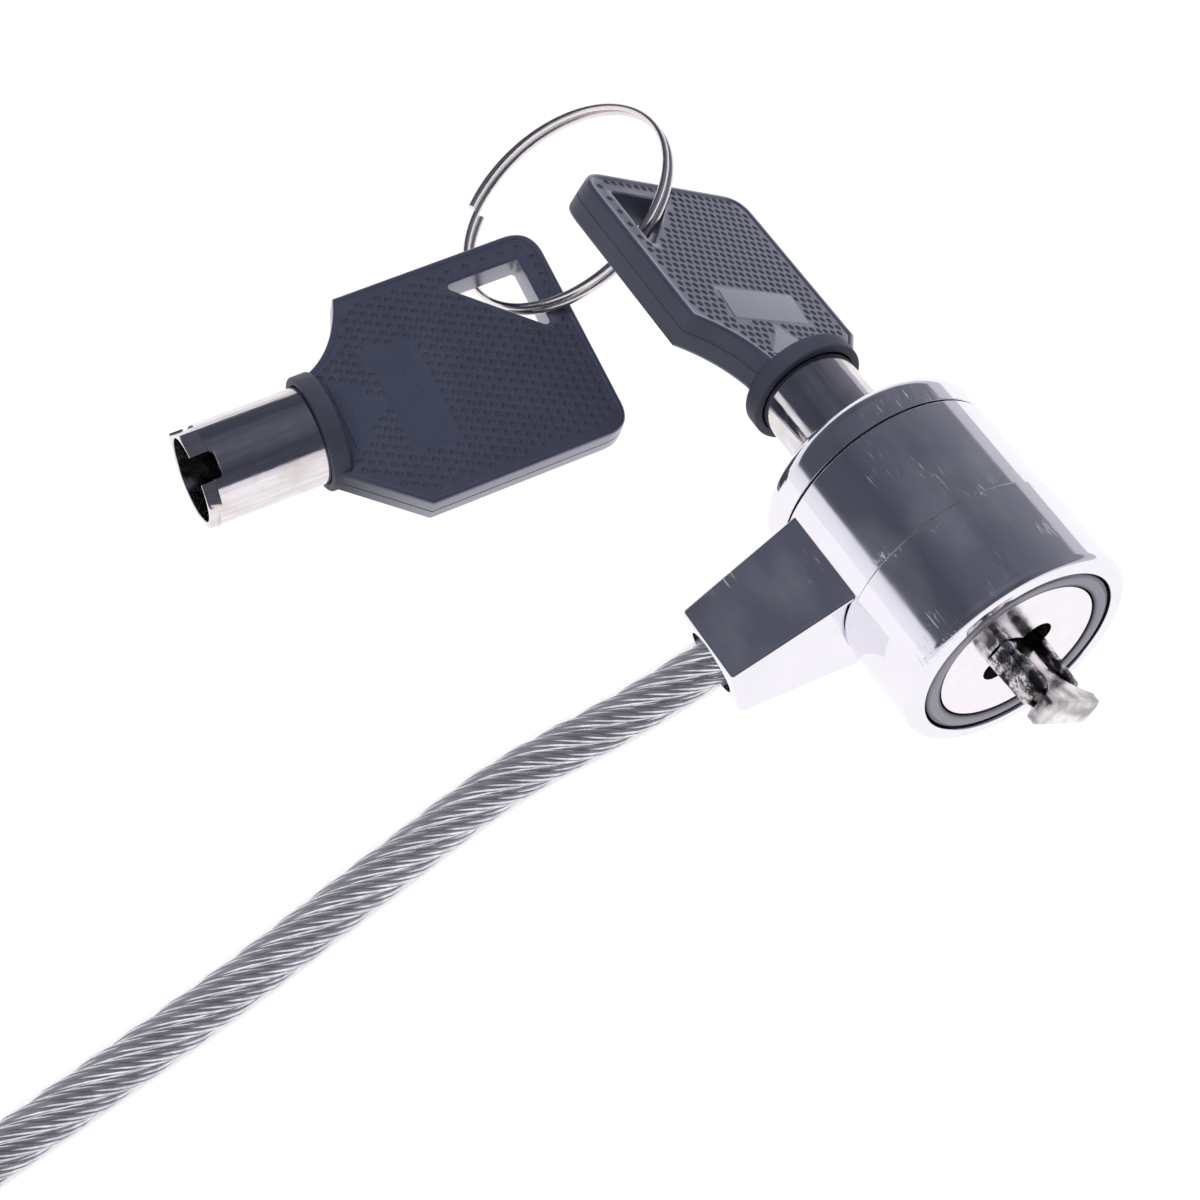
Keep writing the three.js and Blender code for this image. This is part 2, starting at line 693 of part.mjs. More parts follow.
function assemble() {
  const lock = new THREE.Group();

  lock.add(piece('core_housing', coreHousing(), 'steel'));
  lock.add(piece('nose_shell', noseShell(), 'chrome'));
  lock.add(piece('face_ring', faceRing(), 'rubber'));
  lock.add(piece('face_plate', facePlate(), 'chrome'));
  lock.add(piece('guide_fork', guideFork(), 'chrome'));
  lock.add(piece('rear_cap', rearCap(), 'chrome'));
  lock.add(piece('seam_washer', seamWasher(), 'rubber'));
  lock.add(piece('stator', stator(), 'brass'));
  lock.add(piece('stator_pin', statorPin(), 'steel'));

  lock.add(piece('rotor', rotor(), 'brass'));
  lock.add(piece('spindle', spindle(), 'steel'));
  lock.add(piece('thrust_washer', thrustWasher(), 'brass'));
  lock.add(piece('retaining_clip', retainingClip(), 'steel'));
  lock.add(piece('drive_coupler', driveCoupler(), 'steel'));
  lock.add(piece('coupler_pin', couplerPin(), 'steel'));
  lock.add(piece('locking_bar', lockingBar(), 'nickel'));

  pinAngles.forEach((angle, i) => {
    lock.add(piece(`key_pin_${i + 1}`, keyPin(angle, i), 'brass'));
    lock.add(piece(`driver_pin_${i + 1}`, driverPin(angle), 'steel'));
    lock.add(piece(`pin_spring_${i + 1}`, pinSpring(angle), 'steel'));
  });

  lock.add(piece('swivel_collar', swivelCollar(), 'chrome'));

  lock.add(piece('cable_anchor', cableAnchor(), 'steel'));
  lock.add(piece('cable_sleeve', cableSleeve(), 'vinyl'));
  lock.add(piece('steel_rope', steelRope(), 'steel'));
  lock.add(piece('loop_crimp', loopCrimp(), 'steel'));

  const mainKey = new THREE.Group();
  mainKey.position.set(keyShoulderX, 0, 0);
  mainKey.rotation.set(headRoll, 0, Math.PI);
  mainKey.add(piece('key_barrel', keyBarrelSolid(), 'nickel'));
  mainKey.add(piece('key_head', keyHeadSolid(), 'plastic'));
  lock.add(mainKey);

  const spareKey = new THREE.Group();
  spareKey.position.copy(spareKeyPlace);
  spareKey.rotation.copy(spareKeyTurn);
  spareKey.add(piece('spare_key_barrel', keyBarrelSolid(), 'nickel'));
  spareKey.add(piece('spare_key_head', keyHeadSolid(), 'plastic'));
  lock.add(spareKey);

  const ring = new THREE.Group();
  ring.position.copy(ringCentre);
  ring.rotation.copy(ringTurn);
  ring.add(piece('key_ring', splitRing(), 'nickel'));
  lock.add(ring);

  return lock;
}

export default assemble();
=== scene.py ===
"""The looks of a laptop cable lock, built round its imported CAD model.

Shapes are worked out in millimetres in the CAD model's frame: the lock's axis is X, the bar's
flat tip is the origin, and +Z is up. Each visible CAD node gets a finer piece of the same size.
"""

import json
import math

import bmesh
import bpy
import numpy as np
from mathutils import Matrix, Vector
from mathutils.geometry import delaunay_2d_cdt

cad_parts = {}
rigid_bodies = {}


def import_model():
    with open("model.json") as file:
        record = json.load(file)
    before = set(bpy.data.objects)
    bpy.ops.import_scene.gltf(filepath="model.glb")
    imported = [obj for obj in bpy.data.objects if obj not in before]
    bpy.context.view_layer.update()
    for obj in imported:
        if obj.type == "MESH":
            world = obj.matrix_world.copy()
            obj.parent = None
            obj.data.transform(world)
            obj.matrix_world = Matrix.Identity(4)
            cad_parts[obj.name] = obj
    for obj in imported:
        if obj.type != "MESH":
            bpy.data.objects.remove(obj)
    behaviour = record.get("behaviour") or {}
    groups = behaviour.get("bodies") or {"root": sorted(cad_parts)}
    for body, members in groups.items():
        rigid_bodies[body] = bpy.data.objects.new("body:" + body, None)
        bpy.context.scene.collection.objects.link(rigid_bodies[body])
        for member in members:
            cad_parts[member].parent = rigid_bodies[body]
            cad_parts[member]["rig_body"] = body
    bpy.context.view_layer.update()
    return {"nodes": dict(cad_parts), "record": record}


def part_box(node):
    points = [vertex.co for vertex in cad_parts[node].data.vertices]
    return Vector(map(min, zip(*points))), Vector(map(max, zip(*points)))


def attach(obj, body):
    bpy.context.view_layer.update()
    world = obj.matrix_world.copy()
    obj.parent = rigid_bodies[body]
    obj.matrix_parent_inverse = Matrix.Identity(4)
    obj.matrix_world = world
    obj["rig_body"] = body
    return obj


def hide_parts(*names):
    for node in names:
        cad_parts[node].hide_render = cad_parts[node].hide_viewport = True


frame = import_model()

MM = 0.001
TURN = 2 * math.pi


def box_mm(node):
    low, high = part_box(node)
    return low / MM, high / MM


# -------- sizes read from the frame

nose_low, nose_high = box_mm("nose_shell")
collar_low, collar_high = box_mm("swivel_collar")
cap_low, cap_high = box_mm("rear_cap")
washer_low, washer_high = box_mm("seam_washer")
ring_low, ring_high = box_mm("face_ring")
plate_low, plate_high = box_mm("face_plate")
fork_low, fork_high = box_mm("guide_fork")
bar_low = box_mm("locking_bar")[0]
key_high = box_mm("key_head")[1]
barrel_high = box_mm("key_barrel")[1]

# -------- sizes shared with the CAD model

HEAD_ROLL = math.radians(-35.5)
HOUSING_RADIUS = 8.4
SHELL_BORE = HOUSING_RADIUS + 0.1
TURNING_BORE = HOUSING_RADIUS + 0.15
RING_BORE = 7.6
ARM_X = (collar_low.x + collar_high.x) / 2
ARM_DROOP = math.radians(12.2)
ARM_LENGTH = 21.1
ARM_START = 7.5
ARM_ROOT = (9.8, 11.5)
ARM_END = (7.9, 6.2)
SLEEVE_RADIUS = 2.3
SLEEVE_BORE = 2.12
CABLE_START = 14.2
TABLE_Z = -nose_high.z
CABLE_Z = TABLE_Z + SLEEVE_RADIUS
COIL_CENTRE = Vector((-67.3, -135))
COIL_RADIUS = 62
COIL_PITCH = 5.6
COIL_TURNS = 2.86
COIL_START = math.radians(9.8)
LOOP_RADIUS = 18
LOOP_LEG = 2.75
LOOP_HEADING = math.radians(208)
LOOP_CENTRE = 36
CRIMP_LENGTH = 12
CRIMP_LIFT = 1.1
CRIMP_PLACE = COIL_CENTRE + Vector((14, 2.7))

KEY_LENGTH = 27.2
KEY_HALF_WIDTH = 10.95
KEY_HALF_THICKNESS = 1.8
KEY_SHOULDER = 7
KEY_COLLAR_RADIUS = 5.45
KEY_COLLAR_LENGTH = 1.9
BARREL_RADIUS = 4.6
BARREL_BORE = 3.95
BARREL_LENGTH = barrel_high.x - key_high.x
EYELET = ((16.9, 8.4), (24.7, 8.4), (24.7, 0.9))
BITTING = (0.9, 1.2, 1.7, 1.7, 0.3, 1.4, 0.6)
BITTING_FLAT = 4.22
PIN_CIRCLE = 4.95
PIN_RADIUS = 0.58
PIN_HOLE_RADIUS = 0.86
LUG_ANGLE = math.radians(205)
LUG_RADIUS = 5.7
LUG_LENGTH = 1.75
LUG_WIDTH = 1.7
SLOT_ANGLE = math.radians(77)
SLOT_DEPTH = 2.1
SLOT_WIDTH = 2.6
KEYWAY_RADIUS = 4.9

RING_RADIUS = 11.27
RING_PITCH = 0.85
RING_START = math.radians(-25)
WIRE_RADIUS = 0.33

main_key_place = Matrix.Translation((key_high.x, 0, 0)) @ Matrix.Rotation(HEAD_ROLL, 4, "X")
main_key_place = main_key_place @ Matrix.Rotation(math.pi, 4, "Z")


def turned_place(position, x, y, z):
    """A place from a position and three.js's ZYX order of turns, in degrees."""
    turn = Matrix.Rotation(math.radians(z), 4, "Z")
    turn = turn @ Matrix.Rotation(math.radians(y), 4, "Y")
    turn = turn @ Matrix.Rotation(math.radians(x), 4, "X")
    return Matrix.Translation(position) @ turn


spare_key_place = turned_place((-60.5, -38.8, -5.15), 17.5, 1.4, 88.1)
key_ring_place = turned_place((-70.05, -7.1, -0.98), 0, 32.4, -119.3)
arm_place = Matrix.Translation((ARM_X, 0, 0)) @ Matrix.Rotation(ARM_DROOP, 4, "X")

# -------- materials


class Nodes:
    """A node tree whose nodes are added and joined with short calls."""

    def __init__(self, owner):
        owner.use_nodes = True
        self.tree = owner.node_tree

    def add(self, kind, inputs=None, **settings):
        node = self.tree.nodes.new("ShaderNode" + kind)
        for name, value in settings.items():
            setattr(node, name, value)
        for name, value in (inputs or {}).items():
            self.feed(node.inputs[name], value)
        return node

    def feed(self, socket, value):
        if isinstance(value, bpy.types.NodeSocket):
            self.tree.links.new(value, socket)
        elif socket.type == "RGBA" and len(value) == 3:
            socket.default_value = (*value, 1)
        else:
            socket.default_value = value

    def span(self, value, low, high, to_low=0.0, to_high=1.0):
        """Value from low to high, spread from to_low to to_high and clamped there."""
        spread = self.add("MapRange", {
            "Value": value, "From Min": low, "From Max": high, "To Min": to_low, "To Max": to_high,
        })
        return spread.outputs["Result"]

    def maths(self, operation, a, b=0.0):
        node = self.add("Math", operation=operation)
        self.feed(node.inputs[0], a)
        self.feed(node.inputs[1], b)
        return node.outputs[0]

    def mix(self, share, a, b):
        return self.add("MixRGB", {"Fac": share, "Color1": a, "Color2": b}).outputs["Color"]


class Look(Nodes):
    """A material made of nodes. Distances are in mm."""

    def __init__(self, name, coordinates="local", **surface):
        self.material = bpy.data.materials.new(name)
        super().__init__(self.material)
        self.surface = self.tree.nodes["Principled BSDF"]
        if coordinates == "local":
            self.place = self.add("Attribute", attribute_name="local").outputs["Vector"]
        else:
            place = self.add("TexCoord").outputs["Object"]
            scaled = self.add("Mapping", {"Vector": place, "Scale": (1 / MM,) * 3})
            self.place = scaled.outputs["Vector"]
        for setting, value in surface.items():
            self.set(setting.replace("_", " ").title(), value)

    def set(self, name, value):
        self.feed(self.surface.inputs[name], value)

    def noise(self, size, detail=3.0, stretch=(1, 1, 1), turn=0.0):
        """Noise with features about size mm across, drawn out where stretch is below 1."""
        scale = tuple(s / size for s in stretch)
        spread = self.add("Mapping", {"Vector": self.place, "Scale": scale, "Rotation": (0, 0, turn)})
        grain = self.add("TexNoise", {"Vector": spread.outputs["Vector"], "Scale": 1.0, "Detail": detail})
        return grain.outputs["Fac"]

    def colour(self, share, a, b):
        self.set("Base Color", self.mix(share, a, b))

    def roughness(self, value, low, high, to_low, to_high):
        self.set("Roughness", self.span(value, low, high, to_low, to_high))

    def bump(self, height, depth):
        """Raises the surface by height times depth mm, on top of any bump already there."""
        node = self.add("Bump", {"Height": height, "Distance": depth * MM, "Strength": 1.0})
        before = self.surface.inputs["Normal"]
        if before.is_linked:
            self.feed(node.inputs["Normal"], before.links[0].from_socket)
        self.set("Normal", node.outputs["Normal"])


def scratches(look, size, turn, amount):
    """Fine straight marks in patches: 1 on a mark and 0 elsewhere."""
    marks = look.span(look.noise(size, 1.0, (0.05, 1, 1), turn), 0.66, 0.72)
    patches = look.span(look.noise(5.0, 2.0), 0.62 - amount, 0.72 - amount)
    return look.maths("MULTIPLY", marks, patches)


def chrome():
    """Mirror plating with faint smudges, and fine scratches that crowd round the nose's seam."""
    look = Look("chrome_plate")
    cloud = look.noise(3.5)
    look.colour(cloud, (0.82, 0.82, 0.87), (0.90, 0.89, 0.93))
    smudge = look.span(look.noise(4.5, 3.0, (0.5, 1, 1)), 0.46, 0.74)
    marks = scratches(look, 0.13, 0.6, 0.07)
    cross_marks = scratches(look, 0.11, 2.1, 0.04)
    x = look.add("SeparateXYZ", {"Vector": look.place}).outputs["X"]
    from_seam = look.maths("ABSOLUTE", look.maths("SUBTRACT", x, nose_low.x))
    ticks = look.span(look.noise(0.15, 1.0, (0.14, 1, 1)), 0.60, 0.66)
    ticks = look.maths("MULTIPLY", ticks, look.span(look.noise(2.6, 2.0), 0.54, 0.62))
    ticks = look.maths("MULTIPLY", ticks, look.span(from_seam, 0.4, 1.6, 1.0, 0.0))
    worn = look.maths("MAXIMUM", look.maths("ADD", marks, cross_marks), ticks)
    dull = look.maths("ADD", look.maths("MULTIPLY", smudge, 0.035), look.maths("MULTIPLY", worn, 0.22))
    look.set("Metallic", look.maths("SUBTRACT", 0.99, dull))
    rough = look.span(smudge, 0.0, 1.0, 0.035, 0.14)
    look.set("Roughness", look.maths("ADD", rough, look.maths("MULTIPLY", worn, 0.16)))
    look.bump(look.noise(1.6, 2.0), 0.0035)
    look.bump(worn, 0.006)
    return look.material


def cloudy_metal(name, size, tone, other_tone, smooth, rough):
    """Metal whose tone and roughness drift together over patches about size mm across."""
    look = Look(name, metallic=1.0)
    cloud = look.noise(size, 4.0)
    look.colour(cloud, tone, other_tone)
    look.roughness(cloud, 0.3, 0.7, smooth, rough)
    return look


def face_metal():
    look = cloudy_metal("polished_face", 1.8, (0.93, 0.90, 0.92), (0.86, 0.83, 0.87), 0.10, 0.22)
    look.bump(look.noise(0.5, 4.0), 0.008)
    look.bump(scratches(look, 0.2, 1.2, 0.10), 0.01)
    return look.material


def soft_ring():
    """A soft grey washer with painted shade, near black, along both its edges."""
    look = Look("dark_ring", metallic=0.45)
    grain = look.noise(0.9)
    across = look.add("Mapping", {"Vector": look.place, "Scale": (0, 1, 1)}).outputs["Vector"]
    radius = look.add("VectorMath", {0: across}, operation="LENGTH").outputs["Value"]
    middle = (RING_BORE + ring_high.z) / 2
    aside = look.maths("ABSOLUTE", look.maths("SUBTRACT", radius, middle))
    soft = look.mix(grain, (0.21, 0.205, 0.245), (0.28, 0.275, 0.32))
    # Painted shade: the colour turns near black towards both edges of the ring.
    look.colour(look.span(aside, 0.38, 0.62), soft, (0.03, 0.03, 0.04))
    look.roughness(grain, 0.3, 0.7, 0.24, 0.34)
    look.bump(look.noise(0.3, 2.0), 0.004)
    return look.material


def bar_nickel():
    look = Look("cast_nickel", metallic=1.0)
    tone = look.span(look.noise(2.4), 0.38, 0.62)
    look.colour(tone, (0.36, 0.345, 0.34), (0.88, 0.85, 0.85))
    look.roughness(look.noise(0.8, 4.0), 0.3, 0.75, 0.12, 0.26)
    look.bump(look.noise(2.0, 2.0), 0.05)
    look.bump(look.noise(0.3), 0.005)
    return look.material


def fork_nickel():
    """Rough casting: near-black patches of painted shade between bright rubbed spots."""
    look = Look("fork_casting", metallic=1.0)
    painted_shade_and_rubbing = look.span(look.noise(0.9), 0.46, 0.60)
    # The near-black share of this mottle is painted shade; the bright share is rubbed metal.
    look.colour(painted_shade_and_rubbing, (0.08, 0.08, 0.085), (0.80, 0.77, 0.74))
    look.roughness(look.noise(0.5, 4.0), 0.3, 0.75, 0.06, 0.22)
    look.bump(look.noise(1.0), 0.09)
    look.bump(look.noise(0.3, 2.0), 0.008)
    return look.material


def key_nickel():
    """Plated tube, a little worn: a mirror with dull warm patches."""
    look = Look("tube_nickel", metallic=1.0)
    streaks = look.noise(0.45, 3.0, (0.06, 1, 1))
    cloud = look.span(look.noise(2.2, 4.0), 0.42, 0.68)
    tone = look.mix(cloud, (0.84, 0.82, 0.83), (0.74, 0.68, 0.63))
    look.colour(look.span(streaks, 0.35, 0.8), tone, (0.60, 0.59, 0.60))
    look.roughness(cloud, 0.0, 1.0, 0.055, 0.19)
    look.bump(streaks, 0.004)
    look.bump(look.noise(1.6, 2.0), 0.012)
    return look.material


def ring_steel():
    look = cloudy_metal("ring_wire", 0.8, (0.70, 0.66, 0.63), (0.90, 0.88, 0.87), 0.12, 0.26)
    look.bump(look.noise(0.3), 0.01)
    return look.material


def key_plastic():
    """Dark moulded plastic: dull in the dimples, smoother on the rims, walls and blanks; the spare key's
    walls also get a painted sheen.
    """
    look = Look("moulded_plastic")
    polish = look.add("Attribute", attribute_name="polish").outputs["Fac"]
    cloud = look.noise(4.0)
    grain = look.noise(0.35)
    look.colour(cloud, (0.026, 0.029, 0.041), (0.038, 0.042, 0.060))
    dull = look.span(grain, 0.3, 0.7, 0.48, 0.56)
    look.set("Roughness", look.maths("SUBTRACT", dull, look.maths("MULTIPLY", polish, 0.22)))
    look.set("Specular IOR Level", look.span(polish, 0.0, 1.0, 0.25, 1.0))
    for name in ("Specular Tint", "Coat Tint"):
        look.set(name, (0.84, 0.86, 1.0))
    look.set("Coat Weight", polish)
    look.set("Coat Roughness", 0.28)
    look.set("Coat IOR", 1.8)
    look.bump(grain, 0.004)
    look.bump(look.noise(0.9), 0.02)
    look.bump(scratches(look, 0.15, 0.9, 0.08), 0.01)
    return look.material


def cable_vinyl():
    look = Look("clear_vinyl")
    haze = look.noise(1.5, 3.0, (0.3, 1, 1))
    look.colour(haze, (0.70, 0.71, 0.76), (0.86, 0.86, 0.90))
    look.roughness(haze, 0.3, 0.7, 0.05, 0.14)
    edge = look.add("LayerWeight", {"Blend": 0.3}).outputs["Facing"]
    look.set("Alpha", look.span(edge, 0.0, 1.0, 0.035, 0.26))
    look.bump(look.noise(0.8, 2.0), 0.02)
    return look.material


WIRES_IN_STRAND = 8.0
WIRE_TURNS_PER_MM = 0.55


def rope_steel():
    """Each strand's own wires run along it as fine twisted ridges, laid out on its UV map."""
    look = Look("rope_wires", metallic=1.0)
    uv = look.add("UVMap", uv_map="along").outputs["UV"]
    across = look.add("SeparateXYZ", {"Vector": uv})
    wires = look.maths("MULTIPLY", across.outputs["Y"], WIRES_IN_STRAND)
    twist = look.maths("MULTIPLY", across.outputs["X"], -WIRE_TURNS_PER_MM)
    angle = look.maths("MULTIPLY", look.maths("ADD", wires, twist), TURN)
    ridge = look.maths("ABSOLUTE", look.maths("SINE", look.maths("MULTIPLY", angle, 0.5)))
    grime = look.noise(1.2, 4.0, (0.5, 1, 1))
    bright = look.mix(look.span(grime, 0.35, 0.65), (0.50, 0.50, 0.53), (0.92, 0.92, 0.95))
    # Painted shade: the grooves between the wires are coloured near black.
    look.colour(look.span(ridge, 0.05, 0.6), (0.06, 0.06, 0.07), bright)
    look.roughness(grime, 0.3, 0.7, 0.14, 0.30)
    look.bump(ridge, 0.10)
    return look.material


def crimp_metal():
    look = cloudy_metal("pressed_aluminium", 1.4, (0.60, 0.60, 0.62), (0.78, 0.78, 0.80), 0.24, 0.42)
    look.bump(look.noise(0.4, 4.0, (0.2, 1, 1), LOOP_HEADING), 0.02)
    look.bump(scratches(look, 0.3, 0.4, 0.2), 0.02)
    return look.material


def machined(name, dark, light, coordinates):
    """Turned metal with rings of fine tool marks round the lock's axis."""
    look = Look(name, coordinates, metallic=1.0)
    rings = look.noise(0.12, 2.0, (1, 0.03, 0.03))
    look.colour(look.noise(0.8, 4.0), dark, light)
    look.roughness(rings, 0.3, 0.7, 0.22, 0.38)
    look.bump(rings, 0.01)
    return look.material


def inner_steel():
    return machined("inner_steel_object", (0.42, 0.42, 0.44), (0.62, 0.62, 0.64), "object")


def inner_brass(coordinates="object"):
    return machined("inner_brass_" + coordinates, (0.62, 0.44, 0.19), (0.80, 0.62, 0.30), coordinates)


# -------- mesh helpers


def heading(angle):
    return Vector((math.cos(angle), math.sin(angle)))


def around(count):
    """Angles at equal steps round a full turn."""
    return [TURN * i / count for i in range(count)]


def rounded(corners, steps=6):
    """The points of a closed outline given as corners (x, y, fillet), each fillet as an arc."""
    points = []
    for i, (x, y, fillet) in enumerate(corners):
        here = Vector((x, y))
        if not fillet:
            points.append(here)
            continue
        to_last = (Vector(corners[i - 1][:2]) - here).normalized()
        to_next = (Vector(corners[(i + 1) % len(corners)][:2]) - here).normalized()
        half = to_last.angle(to_next) / 2
        centre = here + (to_last + to_next).normalized() * fillet / math.sin(half)
        start = here + to_last * fillet / math.tan(half) - centre
        end = here + to_next * fillet / math.tan(half) - centre
        first = math.atan2(start.y, start.x)
        swing = (math.atan2(end.y, end.x) - first + math.pi) % TURN - math.pi
        for step in range(steps + 1):
            points.append(centre + fillet * heading(first + swing * step / steps))
    return points


def add_bands(shape, rings):
    """Faces from each ring of corners to the next."""
    for near, far in zip(rings, rings[1:]):
        for i in range(len(near)):
            shape.faces.new((near[i - 1], near[i], far[i], far[i - 1]))


def skin(loops, closed=False):
    """A mesh through loops of 3D points that all have the same count, closed up or with flat ends."""
    shape = bmesh.new()
    rings = [[shape.verts.new(point) for point in loop] for loop in loops]
    add_bands(shape, rings + rings[:1] if closed else rings)
    if not closed:
        shape.faces.new(rings[0][::-1])
        shape.faces.new(rings[-1])
    bmesh.ops.recalc_face_normals(shape, faces=shape.faces)
    return shape


def lathe(corners, segments=144, steps=6):
    """An outline of (x, radius, fillet) corners turned about the X axis."""
    profile = rounded(corners, steps)
    loops = []
    for angle in around(segments):
        loops.append([(p.x, p.y * math.cos(angle), p.y * math.sin(angle)) for p in profile])
    return skin(loops, closed=True)


def tube(from_x, to_x, outer, inner, fillet=0.1, segments=144):
    return lathe([
        (from_x, inner, fillet), (to_x, inner, fillet), (to_x, outer, fillet), (from_x, outer, fillet),
    ], segments, 3)


def rod(from_x, to_x, radius, fillet=0.0, segments=64, at=(0, 0)):
    """A round bar along X with rounded rims."""
    stations = [(from_x, radius), (to_x, radius)]
    if fillet:
        shoulder = fillet * 0.3
        stations = [
            (from_x, radius - fillet), (from_x + shoulder, radius - shoulder), (from_x + fillet, radius),
            (to_x - fillet, radius), (to_x - shoulder, radius - shoulder), (to_x, radius - fillet),
        ]
    loops = []
    for x, r in stations:
        loops.append([(x, at[0] + r * math.cos(t), at[1] + r * math.sin(t)) for t in around(segments)])
    return skin(loops)


def box_outline(low, high, fillet, far_fillet, steps=4):
    """A rectangle's outline, with one fillet at its two corners at low x and one at the others."""
    (x0, y0), (x1, y1) = low, high
    corners = [(x0, y0, fillet), (x1, y0, far_fillet), (x1, y1, far_fillet), (x0, y1, fillet)]
    return rounded(corners, steps)


def block(low, high, turn=0.0, fillet=0.0):
    """A box from corner to corner, turned about X, with rounded long edges along X."""
    outline = box_outline(low[1:], high[1:], fillet, fillet)
    shape = skin([[(x, p.x, p.y) for p in outline] for x in (low[0], high[0])])
    shape.transform(Matrix.Rotation(turn, 4, "X"))
    return shape


def scene_object(name, data):
    made = bpy.data.objects.new(name, data)
    bpy.context.scene.collection.objects.link(made)
    return made


def mesh_object(name, shape):
    """An object made from a bmesh, which is used up."""
    mesh = bpy.data.meshes.new(name)
    shape.to_mesh(mesh)
    shape.free()
    return scene_object(name, mesh)


def combine(base, tool, operation):
    """base joined with or cut by tool. Both meshes are used up."""
    objects = []
    for part in (base, tool):
        bmesh.ops.recalc_face_normals(part, faces=part.faces)
        objects.append(mesh_object("working", part))
    modifier = objects[0].modifiers.new("combine", "BOOLEAN")
    modifier.object = objects[1]
    modifier.operation = operation
    modifier.solver = "MANIFOLD"
    result = bmesh.new()
    result.from_object(objects[0], bpy.context.evaluated_depsgraph_get())
    for used in objects:
        bpy.data.objects.remove(used)
    return result


def join(base, *tools):
    for tool in tools:
        base = combine(base, tool, "UNION")
    return base


def cut(base, *tools):
    for tool in tools:
        base = combine(base, tool, "DIFFERENCE")
    return base


# -------- pieces on the frame

slots = {part["node"]: part["material_slot"] for part in frame["record"]["subparts"]}
finishes = (
    chrome, face_metal, soft_ring, bar_nickel, fork_nickel, key_nickel, ring_steel, key_plastic,
    cable_vinyl, rope_steel, crimp_metal, inner_steel, inner_brass,
)
looks = {finish.__name__: finish() for finish in finishes}


def stand_in(node, shape, place=Matrix(), sharp=30, look=None):
    """Shows shape instead of a CAD node, on the same body and with the same finish."""
    bmesh.ops.recalc_face_normals(shape, faces=shape.faces)
    limit = math.radians(sharp)
    for edge in shape.edges:
        edge.smooth = edge.calc_face_angle(0) < limit
    for face in shape.faces:
        face.smooth = True
    piece = mesh_object(node + "_fine", shape)
    mesh = piece.data
    coordinates = np.empty(len(mesh.vertices) * 3, np.float32)
    mesh.vertices.foreach_get("co", coordinates)
    local = mesh.attributes.new("local", "FLOAT_VECTOR", "POINT")
    local.data.foreach_set("vector", coordinates)
    mesh.transform(Matrix.Scale(MM, 4) @ place)
    mesh.materials.append(look or looks[slots[node]])
    normals = piece.modifiers.new("even_normals", "WEIGHTED_NORMAL")
    normals.keep_sharp = True
    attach(piece, frame["nodes"][node]["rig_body"])
    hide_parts(node)
    return piece


# -------- lock body


def nose_shell():
    """The front half of the body, with a narrower mouth that holds the face ring."""
    front, rear, radius = nose_high.x, nose_low.x, nose_high.z
    mouth = 9.15
    return lathe([
        (front, radius, 0.85), (rear, radius, 0.05), (rear, SHELL_BORE, 0), (front - 3.9, SHELL_BORE, 0),
        (front - 2.1, mouth, 0), (front, mouth, 0.18),
    ], 192, 8)


def face_ring():
    """A ring with a slightly crowned middle and a narrow step down along each edge."""
    front, rear, inner, outer = ring_high.x, ring_low.x, RING_BORE, ring_high.z
    step = 0.22
    slope = 0.12
    return lathe([
        (rear, inner, 0), (front - slope, inner, 0.08), (front - slope, inner + step, 0.06),
        (front - 0.02, inner + step + slope, 0.04), (front, (inner + outer) / 2, 0.2),
        (front - 0.02, outer - step - slope, 0.04), (front - 0.16, outer - step, 0.06),
        (front - 0.16, outer, 0.08), (rear, outer, 0),
    ], 160, 4)


PRONG_INNER = 1.72
PRONG_OUTER = 3.2
PRONG_TIP_OUTER = 2.85
PRONG_HALF_WIDTH = 1.45
PRONG_CORNER = 0.5
FORK_SLOT = (PRONG_OUTER + 0.2, PRONG_HALF_WIDTH + 0.2, 0.0)
OPEN_SLOT = (3.5, 1.4, math.radians(66))


def fork_slots(from_x, to_x):
    """Two crossing slots with round ends: one for the fork and bar, one that stays open."""
    cutters = []
    for half_length, half_width, turn in (FORK_SLOT, OPEN_SLOT):
        low, high = (from_x, -half_length, -half_width), (to_x, half_length, half_width)
        cutters.append(block(low, high, HEAD_ROLL + turn, half_width - 0.05))
    return cutters


def face_plate():
    """A disc made with a small bore, which the slots then cut away."""
    disc = tube(plate_low.x, plate_high.x, plate_high.z, 0.4, 0.08, 160)
    return cut(disc, *fork_slots(plate_low.x - 1, plate_high.x + 1))


def prong(side):
    """A cast finger with a sloped outer face, rounded edges and slightly uneven sides."""
    root, tip = fork_low.x + 0.2, fork_high.x
    inner_corner = 0.16
    narrowing = 0.14
    end_share = 0.07
    end_round = 0.22
    stations = 18
    loops = []
    for i in range(stations + 1):
        share = i / stations
        x = root + (tip - root) * share
        drawn_in = max(0.0, (share - 1 + end_share) / end_share) ** 2 * end_round
        outer = PRONG_OUTER + (PRONG_TIP_OUTER - PRONG_OUTER) * share - drawn_in
        inner = PRONG_INNER + drawn_in
        half = PRONG_HALF_WIDTH * (1 - narrowing * share) - drawn_in
        outline = box_outline((inner, -half), (outer, half), inner_corner, PRONG_CORNER)
        wobble = 0.035 * math.sin(5.1 * x + side) + 0.02 * math.sin(13.3 * x + 2 * side)
        loops.append([(x, p.x - wobble * (p.x > inner + 0.5), p.y + wobble) for p in outline])
    finger = skin(loops)
    finger.transform(Matrix.Rotation(HEAD_ROLL + side * math.pi, 4, "X"))
    return finger


def guide_fork():
    """A stepped base behind the face plate, with two prongs that pass through the plate."""
    front, rear = plate_low.x - 0.15, fork_low.x
    boss, flange, step = 7.2, 8.1, 0.5
    base = lathe([
        (rear, PRONG_INNER, 0), (front, PRONG_INNER, 0), (front, boss, 0.1), (front - step, boss, 0),
        (front - step, flange, 0.1), (rear, flange, 0.1),
    ], 96, 2)
    base = cut(base, *fork_slots(rear + 0.5, front + 1))
    return join(base, prong(0), prong(1))


